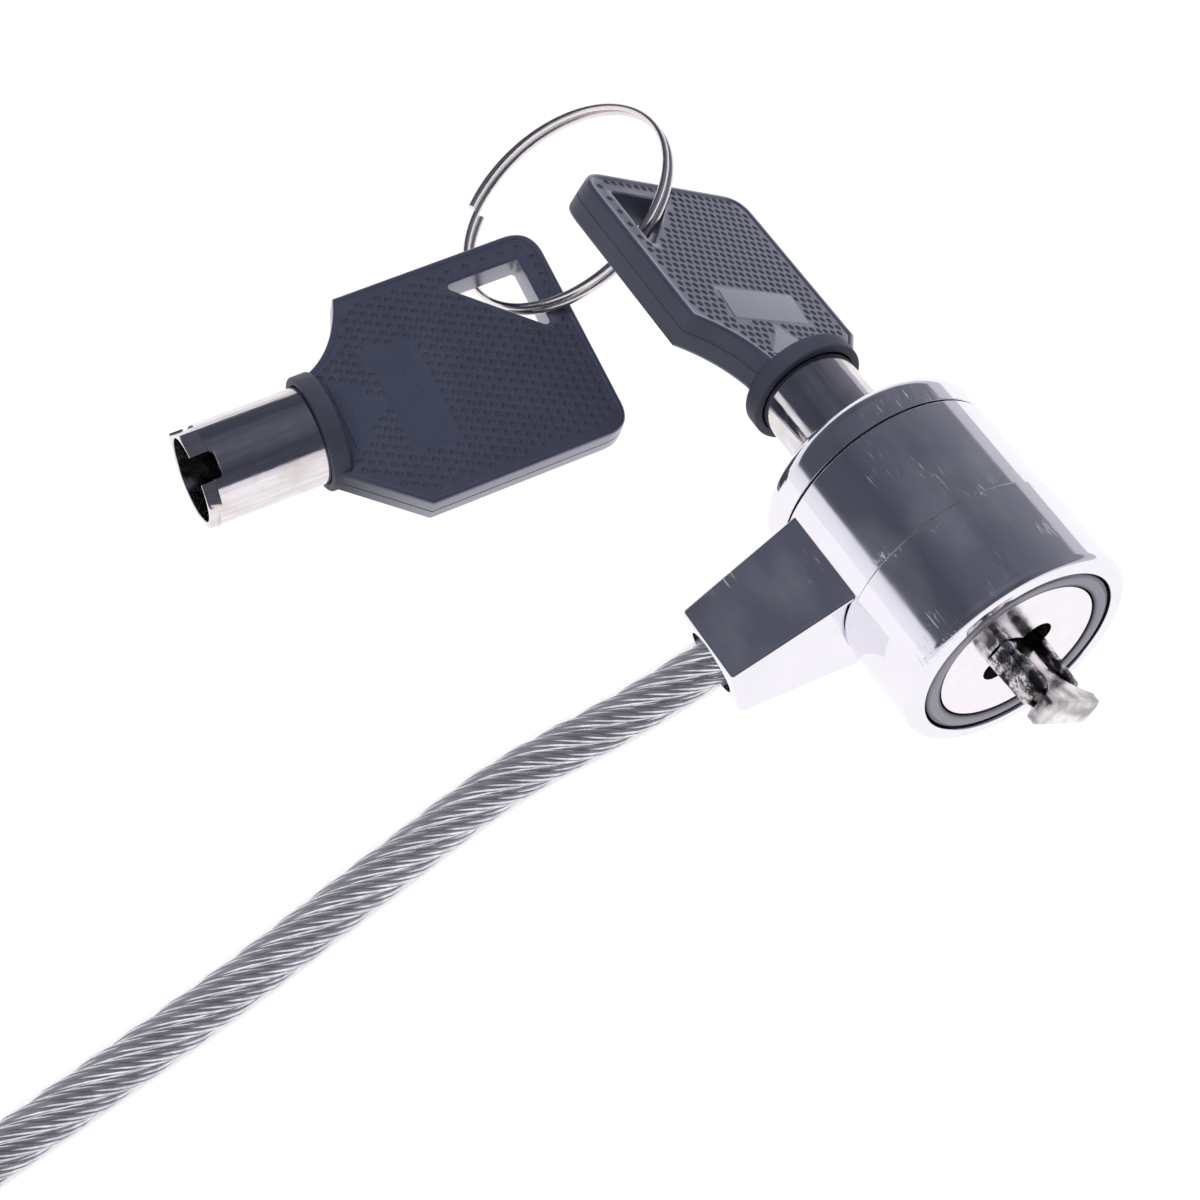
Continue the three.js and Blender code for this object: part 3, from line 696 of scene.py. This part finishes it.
def rear_cap():
    """A domed cap with a round keyway and two notches for the key's lug."""
    front, rear, radius = cap_high.x, cap_low.x, cap_high.z
    wall = 0.8
    half_notch = LUG_WIDTH / 2 + 0.25
    cap = lathe([
        (front, TURNING_BORE, 0), (front, radius, 0.08), (rear, radius, 1.85),
        (rear, KEYWAY_RADIUS, 0.16), (rear + wall, KEYWAY_RADIUS, 0), (rear + wall, TURNING_BORE, 0),
    ], 192, 10)
    notches = []
    for quarter in (0, 1):
        low = (rear - 1, KEYWAY_RADIUS - 0.6, -half_notch)
        high = (rear + wall + 0.5, LUG_RADIUS + 0.3, half_notch)
        notches.append(block(low, high, HEAD_ROLL + LUG_ANGLE + quarter * math.pi / 2, 0.25))
    return cut(cap, *notches)


def seam_washer():
    return tube(washer_low.x, washer_high.x, washer_high.z, TURNING_BORE)


# -------- locking bar


def locking_bar():
    """A flat-sided shaft that flares into the T-shaped head, with a flange and a square tail."""
    head_half, head_half_width = 3.45, 1.3
    shaft_half, shaft_half_width = 1.15, 0.85
    shaft_rear = fork_low.x - 0.6
    flare_start, flare_end, head_back = -4.3, -1.05, -1.7
    rim = 0.3
    stations = 16
    places = [shaft_rear]
    places += [flare_start + (head_back - flare_start) * i / stations for i in range(stations + 1)]
    places += [flare_end, -0.62, -0.28, -0.1, 0.0]
    loops = []
    for x in places:
        flare = min(1.0, max(0.0, (x - flare_start) / (flare_end - flare_start)))
        drawn_in = rim * max(0.0, (x + rim) / rim) ** 2
        length = shaft_half + (head_half - shaft_half) * flare**2.6 - drawn_in
        width = shaft_half_width + (head_half_width - shaft_half_width) * flare**0.7 - drawn_in
        fillet = 0.42 - 0.12 * flare
        rough = 0.03 * math.sin(7 * x)
        outline = rounded([
            (-length + rough, -width, fillet), (length, -width, fillet),
            (length - rough, width, fillet), (-length, width, fillet),
        ], 5)
        loops.append([(x, p.x, p.y) for p in outline])
    bar = skin(loops)
    bar.transform(Matrix.Rotation(HEAD_ROLL, 4, "X"))
    flange = rod(fork_low.x - 1.25, fork_low.x - 0.2, 3.2, 0.1)
    half_tail = 1.2
    tail_low, tail_high = (bar_low.x, -half_tail, -half_tail), (fork_low.x - 1, half_tail, half_tail)
    return join(bar, flange, block(tail_low, tail_high, HEAD_ROLL, 0.15))


# -------- swivel collar


def tapered_arm():
    """The arm from ARM_START to ARM_LENGTH along -Y, with rounded edges and end."""
    edge = 0.32
    stations = [ARM_START, ARM_START + 6.8, ARM_LENGTH - 3, ARM_LENGTH - edge]
    loops = []
    for y, drawn_in in [(s, 0.0) for s in stations] + [
        (ARM_LENGTH - edge * 0.62, edge * 0.08), (ARM_LENGTH - edge * 0.29, edge * 0.29),
        (ARM_LENGTH - edge * 0.08, edge * 0.62), (ARM_LENGTH, edge),
    ]:
        share = (y - ARM_START) / (ARM_LENGTH - ARM_START)
        half_x = (ARM_ROOT[0] + (ARM_END[0] - ARM_ROOT[0]) * share) / 2 - drawn_in
        half_z = (ARM_ROOT[1] + (ARM_END[1] - ARM_ROOT[1]) * share) / 2 - drawn_in
        outline = box_outline((-half_x, -half_z), (half_x, half_z), edge, edge, 6)
        loops.append([(p.x, -y, p.y) for p in outline])
    return skin(loops)


def along_arm(shape):
    """Turns a shape made along +X so that it lies along the arm."""
    shape.transform(arm_place @ Matrix.Rotation(-math.pi / 2, 4, "Z"))
    return shape


def swivel_collar():
    """A barrel with the arm on it, bored for the housing and hollow for the cable's anchor."""
    front, rear, radius = collar_high.x, collar_low.x, collar_high.z
    before_boring = HOUSING_RADIUS - 1
    barrel = lathe([
        (front, radius, 0.06), (rear, radius, 0.08), (rear, before_boring, 0), (front, before_boring, 0),
    ], 240, 5)
    arm = tapered_arm()
    arm.transform(arm_place)
    cavity = rod(0, ARM_LENGTH - 3.2, 3.4)
    exit_bore = rod(1, ARM_LENGTH + 2, SLEEVE_RADIUS + 0.3)
    mouth = rod(ARM_LENGTH - 2.2, ARM_LENGTH + 1, SLEEVE_RADIUS + 0.62)
    bore = rod(rear - 1, front + 1, TURNING_BORE, 0, 144)
    shape = join(barrel, arm)
    return cut(shape, along_arm(cavity), along_arm(exit_bore), along_arm(mouth), bore)


# -------- cable


def arm_point(distance):
    return Vector((ARM_X, -distance * math.cos(ARM_DROOP), -distance * math.sin(ARM_DROOP)))


def coil_point(turns):
    angle = COIL_START - turns * TURN
    radius = COIL_RADIUS - turns * COIL_PITCH
    return Vector((*(COIL_CENTRE + radius * heading(angle)), CABLE_Z))


def loop_point(u, v, lift=0.0):
    """A point of the end loop: u from the crimp towards the loop, v across it."""
    c, s = math.cos(LOOP_HEADING), math.sin(LOOP_HEADING)
    return Vector((CRIMP_PLACE.x + u * c - v * s, CRIMP_PLACE.y + u * s + v * c, CABLE_Z + lift))


def bend(centre_u, centre_v, radius, degrees):
    """Points of a bend that lies flat beside the crimp."""
    centre = Vector((centre_u, centre_v))
    return [loop_point(*(centre + radius * heading(math.radians(angle)))) for angle in degrees]


def cable_guides():
    """The points that the cable's centre line passes through, from the arm to the crimp."""
    points = [arm_point(CABLE_START), arm_point(ARM_LENGTH), arm_point(ARM_LENGTH + 8)]
    points.append(Vector((ARM_X - 0.3, -40, CABLE_Z + 0.35)))
    for aside, y in ((2.2, -53), (5.6, -68), (9.2, -88), (12.8, -108)):
        points.append(Vector((ARM_X + aside, y, CABLE_Z)))
    coil_steps = 36
    points += [coil_point(i / coil_steps * COIL_TURNS) for i in range(coil_steps + 1)]
    points += bend(-11.1, -19.6, 16.9, (172, 130, 96))
    leg = CRIMP_LENGTH / 2 + 1.5
    near, spread = (13.5, 4.3), (21.5, 10.6)
    points += [loop_point(u, -LOOP_LEG, CRIMP_LIFT) for u in (-leg, 0, leg)]
    points += [loop_point(near[0], -near[1], CRIMP_LIFT / 2), loop_point(spread[0], -spread[1])]
    points += bend(LOOP_CENTRE, 0, LOOP_RADIUS, (-110, -72, -36, 0, 36, 72, 110))
    points += [loop_point(*spread), loop_point(*near, CRIMP_LIFT / 2)]
    points += [loop_point(u, LOOP_LEG, CRIMP_LIFT) for u in (leg, 0, -leg)]
    return points


def centripetal(guides, steps=24):
    """A centripetal Catmull-Rom curve through the guides, as an array of points."""
    guides = [np.array(g) for g in guides]
    guides = [2 * guides[0] - guides[1]] + guides + [2 * guides[-1] - guides[-2]]
    points = []
    for p0, p1, p2, p3 in zip(guides, guides[1:], guides[2:], guides[3:]):
        gaps = [np.linalg.norm(b - a) ** 0.5 for a, b in ((p0, p1), (p1, p2), (p2, p3))]
        start = ((p1 - p0) / gaps[0] - (p2 - p0) / (gaps[0] + gaps[1]) + (p2 - p1) / gaps[1]) * gaps[1]
        end = ((p2 - p1) / gaps[1] - (p3 - p1) / (gaps[1] + gaps[2]) + (p3 - p2) / gaps[2]) * gaps[1]
        for t in np.arange(steps) / steps:
            a = 2 * t**3 - 3 * t**2 + 1
            b = t**3 - 2 * t**2 + t
            c = 3 * t**2 - 2 * t**3
            d = t**3 - t**2
            points.append(a * p1 + b * start + c * p2 + d * end)
    points.append(guides[-2])
    return np.array(points)


def evenly(points, spacing):
    """The same line, resampled at equal distances. Returns the points and their distances."""
    along = np.concatenate([[0], np.cumsum(np.linalg.norm(np.diff(points, axis=0), axis=1))])
    distance = np.linspace(0, along[-1], int(round(along[-1] / spacing)) + 1)
    return np.stack([np.interp(distance, along, points[:, k]) for k in range(3)], 1), distance


def axes_along(points):
    """Two directions square to the line at each point, carried along it without twist."""
    tangents = np.gradient(points, axis=0)
    tangents /= np.linalg.norm(tangents, axis=1)[:, None]
    side = np.cross(tangents[0], (0, 0, 1))
    sides = []
    for tangent in tangents:
        side = side - tangent * (side @ tangent)
        side = side / np.linalg.norm(side)
        sides.append(side)
    sides = np.array(sides)
    return sides, np.cross(tangents, sides)


def sweep(points, radius, segments, hollow=0.0, distance=None):
    """Points and faces of a round bar or tube along a line. radius may vary: one row per point."""
    u, v = axes_along(points)
    angle = np.array(around(segments))
    outer = np.broadcast_to(radius, (len(points), segments))
    rings = [outer] if not hollow else [outer, np.full_like(outer, hollow)]
    vertices, faces, marks = [], [], []
    count = len(points)
    along = distance if distance is not None else np.arange(count)
    for layer, radii in enumerate(rings):
        ring = points[:, None] + radii[..., None] * (
            np.cos(angle)[:, None] * u[:, None] + np.sin(angle)[:, None] * v[:, None]
        )
        vertices.append(ring.reshape(-1, 3))
        base = layer * count * segments
        for i in range(count - 1):
            row = base + i * segments
            for j in range(segments):
                k = (j + 1) % segments
                face = (row + j, row + segments + j, row + segments + k, row + k)
                faces.append(face[::-1] if layer else face)
                near, far = j / segments, (j + 1) / segments
                marks.append(((along[i], near), (along[i + 1], near), (along[i + 1], far), (along[i], far)))
    last = (count - 1) * segments
    if hollow:
        base = count * segments
        for row, flip in ((0, False), (last, True)):
            for j in range(segments):
                k = (j + 1) % segments
                face = (row + j, row + k, base + row + k, base + row + j)
                faces.append(face[::-1] if flip else face)
                marks.append(((0, 0),) * 4)
    else:
        faces.append(tuple(range(segments)))
        faces.append(tuple(last + j for j in range(segments))[::-1])
        marks += [((0, 0),) * segments] * 2
    return np.concatenate(vertices), faces, marks


def gather(parts):
    """One bmesh of several swept parts, with their UV marks."""
    shape = bmesh.new()
    layer = shape.loops.layers.uv.new("along")
    for vertices, faces, marks in parts:
        corners = [shape.verts.new(v) for v in vertices]
        for face, mark in zip(faces, marks):
            made = shape.faces.new([corners[i] for i in face])
            for loop, uv in zip(made.loops, mark):
                loop[layer].uv = uv
    return shape


ROPE_LAY = 23.0
STRAND_CIRCLE = 1.36
STRAND_RADIUS = 0.68
CORE_RADIUS = 0.65
STRANDS = 6
CABLE_STEP = 1.1
cable_line, cable_distance = evenly(centripetal(cable_guides()), CABLE_STEP)


def steel_rope():
    """Six strands laid round a core strand. The lay is right-handed."""
    u, v = axes_along(cable_line)
    parts = []
    for strand in range(STRANDS):
        angle = TURN * (strand / STRANDS + cable_distance / ROPE_LAY)
        line = cable_line + STRAND_CIRCLE * (np.cos(angle)[:, None] * u + np.sin(angle)[:, None] * v)
        parts.append(sweep(line, STRAND_RADIUS, 12, distance=cable_distance))
    parts.append(sweep(cable_line, CORE_RADIUS, 8, distance=cable_distance))
    return gather(parts)


def cable_sleeve():
    """The clear sleeve, drawn down a little between the strands."""
    segments = 24
    draw = 0.03
    angle = np.array(around(segments))
    lay = TURN * cable_distance[:, None] / ROPE_LAY
    radius = SLEEVE_RADIUS - draw + draw * np.cos(STRANDS * (angle[None] - lay))
    return gather([sweep(cable_line, radius, segments, SLEEVE_BORE, cable_distance)])


def loop_crimp():
    """A double ferrule pressed over both legs of the loop, with three press marks."""
    half = CRIMP_LENGTH / 2
    radius = SLEEVE_RADIUS + 1.05
    rim_length, rim_round = 0.35, 0.3
    press_depth, press_pitch, pressed_half = 0.22, 3.6, 4.6
    stations = 48
    loops = []
    for i in range(stations + 1):
        x = -half + CRIMP_LENGTH * i / stations
        rim = max(0.0, (abs(x) - half + rim_length) / rim_length)
        press = press_depth * max(0.0, math.cos(x * TURN / press_pitch)) ** 2 * (abs(x) < pressed_half)
        r = radius - press - rim_round * rim**2
        outline = []
        for side in (1, -1):
            for step in range(17):
                angle = (step / 16 - 0.5) * math.pi
                outline.append((side * (LOOP_LEG + r * math.cos(angle)), side * r * math.sin(angle)))
        loops.append([(x, y, z) for y, z in outline])
    crimp = skin(loops)
    bores = [rod(-CRIMP_LENGTH, CRIMP_LENGTH, SLEEVE_RADIUS + 0.16, at=(s * LOOP_LEG, 0)) for s in (-1, 1)]
    return cut(crimp, *bores)


crimp_place = Matrix.Translation(loop_point(0, 0, CRIMP_LIFT)) @ Matrix.Rotation(LOOP_HEADING, 4, "Z")

# -------- keys

# A key lies in its own frame: the collar's front face at the origin, the head towards +X, the
# barrel towards -X, the eyelet on the +Y side and the shown face towards +Z.


def quadratic(start, bend, end, steps):
    """Points of a quadratic curve."""
    points = []
    for i in range(steps + 1):
        t = i / steps
        points.append((1 - t) ** 2 * Vector(start) + 2 * t * (1 - t) * Vector(bend) + t * t * Vector(end))
    return points


def head_outline():
    """The head's outer outline, anticlockwise from the neck's straight -Y side."""
    far, wide = KEY_LENGTH, KEY_HALF_WIDTH
    corner = 2.6
    eyelet_corner = 3.0
    straight_neck, hollow_neck, hollow_bend = (0.5, -5.2), (0.6, 4.6), (5.0, 5.6)
    points = [Vector(straight_neck), Vector((KEY_SHOULDER, -wide))]
    points += quadratic((far - corner, -wide), (far, -wide), (far, -wide + corner), 10)
    points += quadratic((far, wide - eyelet_corner), (far, wide), (far - eyelet_corner, wide), 12)
    points += quadratic((KEY_SHOULDER, wide), hollow_bend, hollow_neck, 16)
    return points


def inset(outline, distance):
    """The outline moved inwards, square to its edges, or a hole's outline moved outwards.

    An outline's points run anticlockwise, and a hole's run clockwise.
    """
    sharpest = 1.6  # keeps a sharp corner from running out too far
    moved = []
    for i, here in enumerate(outline):
        into = (here - outline[i - 1]).normalized()
        out = (outline[(i + 1) % len(outline)] - here).normalized()
        square = Vector((-into.y - out.y, into.x + out.x))
        moved.append(here + square * distance * 2 / max(square.length_squared, sharpest))
    return moved


def in_polygon(point, polygon):
    inside = False
    for i, a in enumerate(polygon):
        b = polygon[i - 1]
        if (a.y > point.y) != (b.y > point.y):
            if point.x < (b.x - a.x) * (point.y - a.y) / (b.y - a.y) + a.x:
                inside = not inside
    return inside


def clear_of(point, polygon, margin):
    """True if the point is at least margin away from the polygon's edges."""
    for i, a in enumerate(polygon):
        b = polygon[i - 1]
        edge = b - a
        share = max(0.0, min(1.0, (point - a).dot(edge) / max(edge.length_squared, 1e-9)))
        if (a + edge * share - point).length < margin:
            return False
    return True


DIMPLE_PITCH = 0.97
DIMPLE_ROW = 0.9
DIMPLE_RADIUS = 0.37
DIMPLE_DEPTH = 0.13
DIMPLE_RINGS = ((1.0, 0.0), (0.84, 0.65), (0.55, 1.0))
DIMPLE_CORNERS = 10
FIELD_DROP = 0.14
BLANK_RISE = 0.06
BLANK_SLOPE = 0.08
BLANK_DIAMOND = [Vector(p) for p in ((7.6, 4.9), (8.0, -5.3), (11.9, -6.0), (11.5, 4.2))]
BLANK_TRIANGLE = [Vector(p) for p in ((3.0, 3.5), (3.0, -3.9), (6.9, 0.0))]


def dimple_places(field, holes):
    """Centres of round dimples in rows across the head, every second row half a pitch aside."""
    places = []
    margin = DIMPLE_RADIUS + 0.02
    for row in range(int(KEY_LENGTH / DIMPLE_ROW)):
        x = row * DIMPLE_ROW
        if x < KEY_COLLAR_LENGTH + 0.5:
            continue
        for column in range(int(2 * KEY_HALF_WIDTH / DIMPLE_PITCH) + 1):
            spot = Vector((x, (column + row % 2 / 2) * DIMPLE_PITCH - KEY_HALF_WIDTH))
            if not in_polygon(spot, field) or any(in_polygon(spot, hole) for hole in holes):
                continue
            if all(clear_of(spot, line, margin) for line in [field] + holes):
                places.append(spot)
    return places


def dimpled_field(field, hole, level):
    """Triangles of the face inside its border, with every dimple sunk into them.

    Also gives each corner's polish: 1 on the border and the raised blanks, half that at a
    dimple's edge and 0 at its bottom.
    """
    points, heights, polish, edges = [], [], [], []
    feet = [inset(blank, -BLANK_SLOPE) for blank in (BLANK_DIAMOND, BLANK_TRIANGLE)]
    outlines = [(field, 0.0), (hole, 0.0), (BLANK_DIAMOND, BLANK_RISE), (BLANK_TRIANGLE, BLANK_RISE)]
    outlines += [(foot, 0.0) for foot in feet]
    for outline, height in outlines:
        start = len(points)
        points += outline
        heights += [height] * len(outline)
        polish += [1.0] * len(outline)
        edges += [(start + i, start + (i + 1) % len(outline)) for i in range(len(outline))]
    for spot in dimple_places(field, [hole] + feet):
        for share, depth in DIMPLE_RINGS:
            for angle in around(DIMPLE_CORNERS):
                points.append(spot + share * DIMPLE_RADIUS * heading(angle))
                heights.append(-DIMPLE_DEPTH * depth)
                polish.append(0.5 * (1 - depth))
    found, _, faces, sources, _, _ = delaunay_2d_cdt(points, edges, [], 0, 1e-5)
    vertices = [(p.x, p.y, level + heights[s[0]], polish[s[0]]) for p, s in zip(found, sources)]
    kept = []
    for face in faces:
        middle = sum((found[i] for i in face), Vector((0, 0))) / len(face)
        if in_polygon(middle, field) and not in_polygon(middle, hole):
            kept.append(face)
    return vertices, kept


def head_plate(wall_polish_and_sheen):
    """The flat head: a smooth raised border, side walls with a parting line, and two faces."""
    half = KEY_HALF_THICKNESS
    outline = head_outline()
    eye_corner = 0.35
    eye = rounded([(x, y, eye_corner) for x, y in EYELET], 4)
    edge = 0.32
    border = 0.24
    field = half - FIELD_DROP
    rim = [
        (edge + border + 0.1, field), (edge + border, half - 0.02), (edge, half),
        (edge * 0.55, half - edge * 0.1), (edge * 0.2, half - edge * 0.38), (0.02, half - edge),
        (0.0, 0.09), (0.07, 0.045),
    ]
    eye_rim = [(0.2, field), (0.06, field - 0.06), (0.0, field - 0.2), (0.0, 0.1)]
    shape = bmesh.new()
    shine = shape.verts.layers.float.new("polish")
    rims = []
    for loop, upper in ((outline, rim), (eye, eye_rim)):
        rings = []
        for distance, z in upper + [(distance, -z) for distance, z in reversed(upper)]:
            rings.append([shape.verts.new((p.x, p.y, z)) for p in inset(loop, distance)])
        add_bands(shape, rings)
        rims.append([Vector(v.co[:2]) for v in rings[0]])
    # Walls take the caller's wall shine, which on the spare key is a painted sheen.
    for corner in shape.verts:
        corner[shine] = wall_polish_and_sheen if abs(corner.co.z) < half - edge + 0.01 else 1.0
    vertices, faces = dimpled_field(rims[0], rims[1], field)
    for side in (1, -1):
        placed = []
        for x, y, z, polish in vertices:
            placed.append(shape.verts.new((x, y, side * z)))
            placed[-1][shine] = polish
        for face in faces:
            shape.faces.new([placed[i] for i in face])
    bmesh.ops.remove_doubles(shape, verts=shape.verts, dist=2e-4)
    bmesh.ops.recalc_face_normals(shape, faces=shape.faces)
    return shape


def key_head(wall_polish_and_sheen):
    """The plate with a round collar at its neck, and a socket for the barrel."""
    socket_radius, socket_depth = BARREL_RADIUS + 0.1, 0.9
    collar_bore = 1.0
    collar = lathe([
        (0, socket_radius, 0.1), (0, KEY_COLLAR_RADIUS, 0.22),
        (KEY_COLLAR_LENGTH, KEY_COLLAR_RADIUS, 0.4), (KEY_COLLAR_LENGTH, collar_bore, 0),
        (socket_depth, collar_bore, 0), (socket_depth, socket_radius, 0),
    ], 96, 5)
    core = rod(socket_depth + 0.05, KEY_COLLAR_LENGTH - 0.02, 1.5)
    socket = rod(-1, socket_depth, socket_radius, 0, 96)
    return cut(join(head_plate(wall_polish_and_sheen), collar, core), socket)


def key_angle(angle):
    """An angle round the lock, turned into the key's own frame, which points the other way."""
    return math.pi - angle


def radial_cutter(from_x, to_x, from_radius, to_radius, width, angle, fillet=0.3):
    """A block that points away from the X axis, with the corners at its to_x end rounded."""
    outline = box_outline((from_x, -width / 2), (to_x, width / 2), 0, fillet)
    shape = skin([[(p.x, radius, p.y) for p in outline] for radius in (from_radius, to_radius)])
    shape.transform(Matrix.Rotation(angle, 4, "X"))
    return shape


def key_barrel():
    """The tubular key's barrel: a tube with a lug, a drive slot and a flat for each of the pins."""
    tip, tail = -BARREL_LENGTH, 0.8
    clear = LUG_RADIUS + 0.5
    tube_wall = [(tip, BARREL_BORE, 0.1), (tail, BARREL_BORE, 0), (tail, BARREL_RADIUS, 0)]
    barrel = lathe(tube_wall + [(tip, BARREL_RADIUS, 0.18)], 160, 4)
    lug_angle, slot_angle = key_angle(LUG_ANGLE), key_angle(SLOT_ANGLE)
    lug = radial_cutter(tip, tip + LUG_LENGTH, BARREL_RADIUS - 0.3, LUG_RADIUS, LUG_WIDTH, lug_angle)
    slot = radial_cutter(tip - 1, tip + SLOT_DEPTH, 3, clear, SLOT_WIDTH, slot_angle, 0.5)
    barrel = cut(join(barrel, lug), slot)
    width = 2 * math.sqrt(BARREL_RADIUS**2 - BITTING_FLAT**2)
    for depth, angle in zip(BITTING, around(len(BITTING))):
        flat_angle = key_angle(angle)
        flat = radial_cutter(tip - 1, tip + depth, BITTING_FLAT, clear, width, flat_angle, 0.2)
        barrel = cut(barrel, flat)
    return barrel


def key_ring():
    """Two turns of slightly flattened wire."""
    steps = 360
    flattening = 0.035
    share = np.linspace(0, 1, steps + 1)
    turn = RING_START + share * 2 * TURN
    rise = (share - 0.5) * 2 * RING_PITCH
    line = np.stack([RING_RADIUS * np.cos(turn), RING_RADIUS * np.sin(turn), rise], 1)
    segments = 14
    radius = WIRE_RADIUS - flattening * np.cos(2 * np.array(around(segments)))
    return gather([sweep(line, radius[None], segments)])


# -------- inner pieces seen through the keyway


def rotor():
    """The turning pin block: a disc with a post and a drive lug, bored for its spindle and pins."""
    low, high = box_mm("rotor")
    rear = cap_low.x + 3.05
    post_end = rear + 0.5
    spindle_bore = 1.35
    disc = tube(rear, high.x, high.z, spindle_bore, 0.08)
    post = tube(low.x, post_end, 3.65, spindle_bore, 0.22, 96)
    lug = radial_cutter(rear - 1.85, post_end, 3.3, BARREL_RADIUS, 2.0, HEAD_ROLL + SLOT_ANGLE)
    shape = join(disc, post, lug)
    for angle in around(len(BITTING)):
        at = PIN_CIRCLE * heading(HEAD_ROLL + angle)
        shape = cut(shape, rod(rear - 1, high.x + 1, PIN_HOLE_RADIUS, 0, 32, at))
    return shape


def key_pin(index):
    low, high = box_mm(f"key_pin_{index + 1}")
    at = ((low.y + high.y) / 2, (low.z + high.z) / 2)
    return rod(low.x, high.x, PIN_RADIUS, 0.12, 28, at)


# -------- build

for build in (nose_shell, face_ring, face_plate, rear_cap, seam_washer, locking_bar, swivel_collar):
    stand_in(build.__name__, build())
stand_in("guide_fork", guide_fork(), look=looks["fork_nickel"])
for build in (steel_rope, cable_sleeve):
    # The chrome shows a clean table: the coil beside it is left out of reflections.
    stand_in(build.__name__, build(), sharp=60).visible_glossy = False
stand_in("loop_crimp", loop_crimp(), crimp_place)
stand_in("key_ring", key_ring(), key_ring_place, sharp=60)
# The spare key's walls get full polish and the main key's get 0.2. On the spare this is a painted sheen for
# the light that brightens its walls, as both heads are the same plastic.
for prefix, place, wall_polish_and_sheen in (("", main_key_place, 0.2), ("spare_", spare_key_place, 1.0)):
    stand_in(prefix + "key_head", key_head(wall_polish_and_sheen), place, sharp=50)
    stand_in(prefix + "key_barrel", key_barrel(), place)
stand_in("rotor", rotor(), look=inner_brass("local"))
for pin in range(len(BITTING)):
    stand_in(f"key_pin_{pin + 1}", key_pin(pin), look=inner_brass("local"))

for node, piece in frame["nodes"].items():
    if not piece.hide_render:
        piece.data.materials.clear()
        piece.data.materials.append(looks[slots[node]])

# -------- floor, light and camera


def floor():
    """A plain pale floor, lit a little from within, low enough for the coil to swing above it."""
    below_cable = 200
    radius = 2600
    middle = 0.01
    shape = skin([[(*(r * heading(t)), 0) for t in around(64)] for r in (middle, radius)])
    shape.transform(Matrix.Scale(MM, 4) @ Matrix.Translation((0, 0, TABLE_Z - below_cable)))
    table = mesh_object("floor", shape)
    look = Look("pale_table", "object", base_color=(0.13, 0.12, 0.13), roughness=0.9)
    look.set("Specular IOR Level", 0.0)
    look.set("Emission Color", (1.0, 0.985, 1.0))
    look.set("Emission Strength", 0.93)
    table.data.materials.append(look.material)


def sky():
    """Reflections see a dark room above a bright horizon; the camera sees a plain pale wall."""
    world = bpy.data.worlds.new("studio")
    bpy.context.scene.world = world
    nodes = Nodes(world)
    direction = nodes.add("TexCoord").outputs["Generated"]
    parts = nodes.add("SeparateXYZ", {"Vector": direction}).outputs
    rise = nodes.add("ValToRGB", {"Fac": parts["Z"]})
    stops = [
        (0.0, (0.92, 0.90, 0.96)), (0.15, (0.82, 0.80, 0.87)), (0.20, (0.12, 0.125, 0.165)),
        (0.26, (0.07, 0.075, 0.102)), (0.70, (0.058, 0.063, 0.09)), (1.0, (0.115, 0.123, 0.165)),
    ]
    ramp = rise.color_ramp
    while len(ramp.elements) < len(stops):
        ramp.elements.new(0.5)
    for element, (position, colour) in zip(ramp.elements, stops):
        element.position = position
        element.color = (*colour, 1)
    aside = nodes.span(parts["Y"], 0.25, 0.95, 0.0, 0.6)
    lighter = nodes.mix(aside, rise.outputs["Color"], (0.30, 0.30, 0.36))
    camera_ray = nodes.add("LightPath").outputs["Is Camera Ray"]
    seen = nodes.mix(camera_ray, lighter, (0.98, 0.97, 1.0))
    nodes.feed(nodes.tree.nodes["Background"].inputs["Color"], seen)


def point_along(thing, direction):
    thing.rotation_mode = "QUATERNION"
    thing.rotation_quaternion = direction.to_track_quat("-Z", "Y")


def soft_light(name, place, size, power):
    """A square light aimed at the lock, seen by neither the camera nor the reflections."""
    aim = Vector((-0.03, -0.03, 0))
    lamp = bpy.data.lights.new(name, "AREA")
    lamp.shape = "SQUARE"
    lamp.size = size
    lamp.energy = power
    light = scene_object(name, lamp)
    light.location = Vector(place)
    point_along(light, aim - light.location)
    light.visible_glossy = False
    light.visible_camera = False


def camera():
    """The camera stands at azimuth 60 and 54 degrees up, seen from the lock."""
    azimuth, elevation = math.radians(60.19), math.radians(54.41)
    level = math.cos(elevation)
    back = Vector((math.sin(azimuth) * level, -math.cos(azimuth) * level, math.sin(elevation)))
    lens = bpy.data.cameras.new("camera")
    lens.lens = 78
    lens.sensor_width = 36
    lens.clip_start = 0.01
    view = scene_object("camera", lens)
    view.location = Vector((80.57, -89.65, 175.82)) * MM
    point_along(view, -back)
    bpy.context.scene.camera = view


floor()
sky()
soft_light("key_light", (0.15, -0.35, 0.75), 0.5, 9.0)
soft_light("fill_light", (-0.55, 0.35, 0.45), 0.5, 4.0)
soft_light("sheen_light", (-0.25, 0.55, 0.35), 0.18, 1.2)
camera()
bpy.context.scene.view_settings.view_transform = "Standard"
